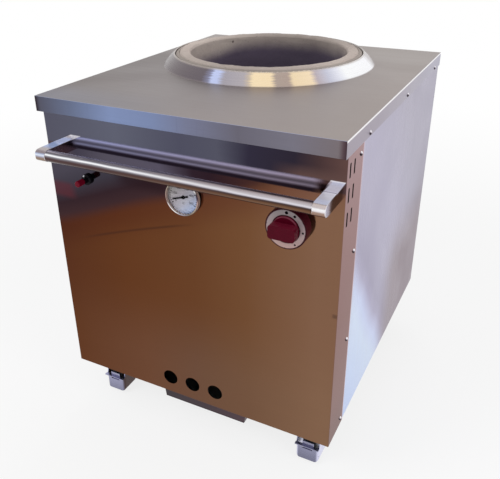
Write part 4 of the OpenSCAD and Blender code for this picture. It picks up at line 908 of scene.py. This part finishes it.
def thrown_pot(heights):
    """The clay pot after the CAD node's own section at these heights, with the unevenness of hand work inside."""
    source = NODES["clay_pot"].data
    tree = BVHTree.FromPolygons([v.co for v in source.vertices], [p.vertices[:] for p in source.polygons])
    side = Vector((math.cos(0.7), math.sin(0.7), 0))
    inner, outer = [], []
    for z in heights:
        middle = Vector((POT.x, POT.y, z))
        first = tree.ray_cast(middle, side)
        last = tree.ray_cast(middle + side, -side)
        if first[0] is None or last[0] is None:
            continue
        inner.append(((first[0] - middle).length, z))
        outer.append(((last[0] - middle).length, z))
    section = inner + outer[::-1]
    bm = bmesh.new()
    rows = []
    for r, z in section:
        row = []
        for k in range(SEGMENTS):
            angle = 2 * math.pi * k / SEGMENTS
            out = Vector((math.cos(angle), math.sin(angle), 0))
            spot = Vector((POT.x, POT.y, z)) + out * r
            push = noise.fractal(spot * WAVE, 1.0, 2.1, 4) * UNEVEN
            fine = noise.noise(spot * GRIT) * UNEVEN * 0.35
            ridge = THROWING * math.sin(z * 900 + 2.0 * math.sin(angle * 2))
            move = push + fine + ridge if (r, z) in inner else -abs(push) * 0.3
            drop = min(0.0, (push + fine) * 1.4 - UNEVEN * 0.5) if z > heights[-1] - 0.004 else 0.0
            row.append(bm.verts.new(spot + out * move + Vector((0, 0, drop))))
        rows.append(row)
    count = len(rows)
    for j in range(count):
        for k in range(SEGMENTS):
            n = (k + 1) % SEGMENTS
            bm.faces.new((rows[j][k], rows[j][n], rows[(j + 1) % count][n], rows[(j + 1) % count][k]))
    bmesh.ops.recalc_face_normals(bm, faces=bm.faces)
    place("clay_pot.thrown", bm, "clay", NODES["clay_pot"]["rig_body"], "clay_pot")


def spaced(low, high, step):
    """Heights from low to high, about a step apart."""
    count = max(1, round((high - low) / step))
    return [low + (high - low) * i / count for i in range(count + 1)]


thrown_pot(spaced(POT_LOW.z + 0.0004, POT_LOW.z + 0.04, 0.002)
           + spaced(POT_LOW.z + 0.046, RIM - 0.06, 0.008)
           + spaced(RIM - 0.057, RIM - 0.008, 0.0028)
           + [RIM - d for d in (0.0064, 0.005, 0.0038, 0.0027, 0.0018, 0.0011, 0.0006, 0.00025, 0.00005)])

# ---------------------------------------------------------------- dial, scale and marks


def at_angle(angle):
    """A direction in a face that looks to the front, and the direction across it."""
    way = Vector((math.cos(angle), 0, math.sin(angle)))
    return way, Vector((-way.z, 0, way.x))


def flat_disc(bm, centre, radius, thick, sides=20):
    """A thin round mark facing the front."""
    turn = Matrix.Rotation(math.radians(90), 4, "X")
    bmesh.ops.create_cone(bm, cap_ends=True, segments=sides, radius1=radius, radius2=radius * 0.92, depth=thick,
                          matrix=Matrix.Translation(centre) @ turn)


def bar_mark(bm, centre, angle, inner, outer, width, thick):
    """A straight radial mark on a face that looks to the front."""
    way, across = at_angle(angle)
    across = across * width / 2
    corners = [centre + way * inner - across, centre + way * outer - across,
               centre + way * outer + across, centre + way * inner + across]
    front = [bm.verts.new(c - Vector((0, thick / 2, 0))) for c in corners]
    back = [bm.verts.new(c + Vector((0, thick / 2, 0))) for c in corners]
    bm.faces.new(front)
    bm.faces.new(back[::-1])
    for i in range(4):
        n = (i + 1) % 4
        bm.faces.new((front[n], front[i], back[i], back[n]))


def numeral(bm, text, centre, size, thick):
    """Upright digits facing the front, added to a bmesh."""
    curve = bpy.data.curves.new("digits", "FONT")
    curve.body = text
    curve.size = size
    curve.align_x = "CENTER"
    curve.align_y = "CENTER"
    curve.extrude = thick / 2
    curve.resolution_u = 3
    holder = bpy.data.objects.new("digits", curve)
    bpy.context.scene.collection.objects.link(holder)
    bpy.context.view_layer.update()
    shape = holder.evaluated_get(bpy.context.evaluated_depsgraph_get()).to_mesh()
    shape.transform(Matrix.Translation(centre) @ Matrix.Rotation(math.radians(90), 4, "X"))
    bm.from_mesh(shape)
    holder.to_mesh_clear()
    bpy.data.objects.remove(holder)
    bpy.data.curves.remove(curve)


def scale_marks():
    """Ticks and plain numbers of the thermometer's scale, from 210 degrees round to -30."""
    face = Vector((GAUGE.x, DIAL_LOW.y - 0.00008, GAUGE.z))
    thick = 0.00012
    ticks, first, step = 26, 210, 9.6  # the angles in degrees
    inner, inner_big, outer, numbers = 0.0300, 0.0278, 0.0330, 0.0212  # distances from the middle
    bm = bmesh.new()
    for i in range(ticks):
        angle = math.radians(first - step * i)
        big = i % 5 == 0
        bar_mark(bm, face, angle, inner_big if big else inner, outer, 0.0018 if big else 0.0009, thick)
        if big:
            numeral(bm, str(i * 20), face + at_angle(angle)[0] * numbers, 0.0074, thick)
    numeral(bm, "C", face + Vector((0, 0, -0.0135)), 0.0075, thick)
    place("dial_scale", bm, "mark", NODES["thermometer_dial"]["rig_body"], of="thermometer_needle")


scale_marks()


def needle():
    """Tapered pointer with a round boss and a short tail, resting a little under nine o'clock."""
    low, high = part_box("thermometer_needle")
    thick = 0.0006
    middle = Vector((GAUGE.x, low.y + thick / 2, GAUGE.z))
    way, across = at_angle(math.radians(197))
    bm = bmesh.new()
    # distance along the pointer and half its width there
    outline = ((0.0275, 0.0008), (0.024, 0.0015), (0.006, 0.0016), (-0.006, 0.0016), (-0.0118, 0.0018),
               (-0.0126, 0.0010))
    sides = []
    for level in (-thick / 2, thick / 2):
        lift = Vector((0, level, 0))
        right_side = [bm.verts.new(middle + way * at + across * half + lift) for at, half in outline]
        left_side = [bm.verts.new(middle + way * at - across * half + lift) for at, half in outline]
        sides.append(right_side + left_side[::-1])
    bm.faces.new(sides[0])
    bm.faces.new(sides[1][::-1])
    for i in range(len(sides[0])):
        n = (i + 1) % len(sides[0])
        bm.faces.new((sides[0][n], sides[0][i], sides[1][i], sides[1][n]))
    bmesh.ops.recalc_face_normals(bm, faces=bm.faces)
    flat_disc(bm, Vector((GAUGE.x, (low.y + high.y) / 2, GAUGE.z)), 0.0043, high.y - low.y, 32)
    place("pointer", bm, "mark", NODES["thermometer_needle"]["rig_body"], "thermometer_needle")


needle()


def ring_marks():
    """Dots for the gas settings on the grey ring, and small notches at its rim."""
    face = Vector((RING.x, RING_LOW.y - 0.00005, RING.z))
    thick = 0.0002
    # degrees, distance from the middle and radius
    dots = ((88, 0.0348, 0.0034), (59, 0.0348, 0.0029), (-2, 0.0352, 0.0022), (-56, 0.0355, 0.0021))
    bm = bmesh.new()
    for degrees, out, radius in dots:
        flat_disc(bm, face + at_angle(math.radians(degrees))[0] * out, radius, thick)
    for degrees in (172, 232, 268, 312, 352, 28):
        bar_mark(bm, face, math.radians(degrees), 0.0392, 0.0408, 0.0014, thick)
    place("ring_marks", bm, "mark", NODES["dial_ring"]["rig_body"], of="igniter_body")


ring_marks()

# ---------------------------------------------------------------- stage and light

FLOOR_GLOW = 0.8  # how much of the floor's white is its own, near the object
WORLD_LIGHT = 0.5
# name, place, aim, size in metres and power in watts
LAMPS = (
    ("key", (-1.6, -2.4, 2.6), (0, 0, 0.4), 1.6, 34),
    ("fill", (2.6, -1.0, 1.8), (0, 0, 0.45), 1.8, 24),
    ("back", (-0.4, 2.6, 3.0), (0, 0, 0.5), 1.8, 20),
)


def white_to_rays(nodes, links):
    """1 for the camera and for reflections, 0 for the light that falls on the object."""
    path = nodes.new("ShaderNodeLightPath")
    total = path.outputs["Is Camera Ray"]
    for name in ("Is Glossy Ray", "Is Transmission Ray"):
        node = nodes.new("ShaderNodeMath")
        node.operation = "MAXIMUM"
        links.new(total, node.inputs[0])
        links.new(path.outputs[name], node.inputs[1])
        total = node.outputs[0]
    return total


def stage():
    """A pale floor that keeps the shadow, a white world for the camera and reflections, soft lamps."""
    bpy.ops.mesh.primitive_plane_add(size=60, location=(0, 0, -0.0005))
    floor = bpy.context.object
    floor.name = "floor"
    mat = Mat("floor", roughness=0.9, colour=(0.88, 0.88, 0.88, 1), Specular_IOR_Level=0.1)
    nodes, links = mat.nodes, mat.links
    far = mat.span(mat.radius(Vector((0, 0, 0))), 0.8, 3.2, FLOOR_GLOW, 1.0, smooth=True)
    share = mat.times(white_to_rays(nodes, links), far)
    glow = nodes.new("ShaderNodeEmission")
    blend = nodes.new("ShaderNodeMixShader")
    links.new(share, blend.inputs[0])
    links.new(mat.shader.outputs[0], blend.inputs[1])
    links.new(glow.outputs[0], blend.inputs[2])
    links.new(blend.outputs[0], nodes["Material Output"].inputs["Surface"])
    floor.data.materials.append(mat.m)

    world = bpy.data.worlds.new("world")
    world.use_nodes = True
    nodes, links = world.node_tree.nodes, world.node_tree.links
    background = nodes["Background"]
    background.inputs["Color"].default_value = (1, 1, 1, 1)
    level = nodes.new("ShaderNodeMapRange")
    level.inputs["To Min"].default_value = WORLD_LIGHT
    level.inputs["To Max"].default_value = 1.0
    links.new(white_to_rays(nodes, links), level.inputs["Value"])
    links.new(level.outputs[0], background.inputs["Strength"])
    bpy.context.scene.world = world

    for name, spot, target, size, power in LAMPS:
        data = bpy.data.lights.new(name, "AREA")
        data.shape = "DISK"
        data.size = size
        data.energy = power
        lamp = bpy.data.objects.new(name, data)
        direction = Vector(spot) - Vector(target)
        lamp.matrix_world = Matrix.Translation(spot) @ direction.to_track_quat("Z", "Y").to_matrix().to_4x4()
        lamp.visible_glossy = False
        bpy.context.scene.collection.objects.link(lamp)


stage()
bpy.context.scene.view_settings.view_transform = "Standard"


def corners(box):
    """A box as plain lists of numbers."""
    return [[float(c) for c in corner] for corner in box]
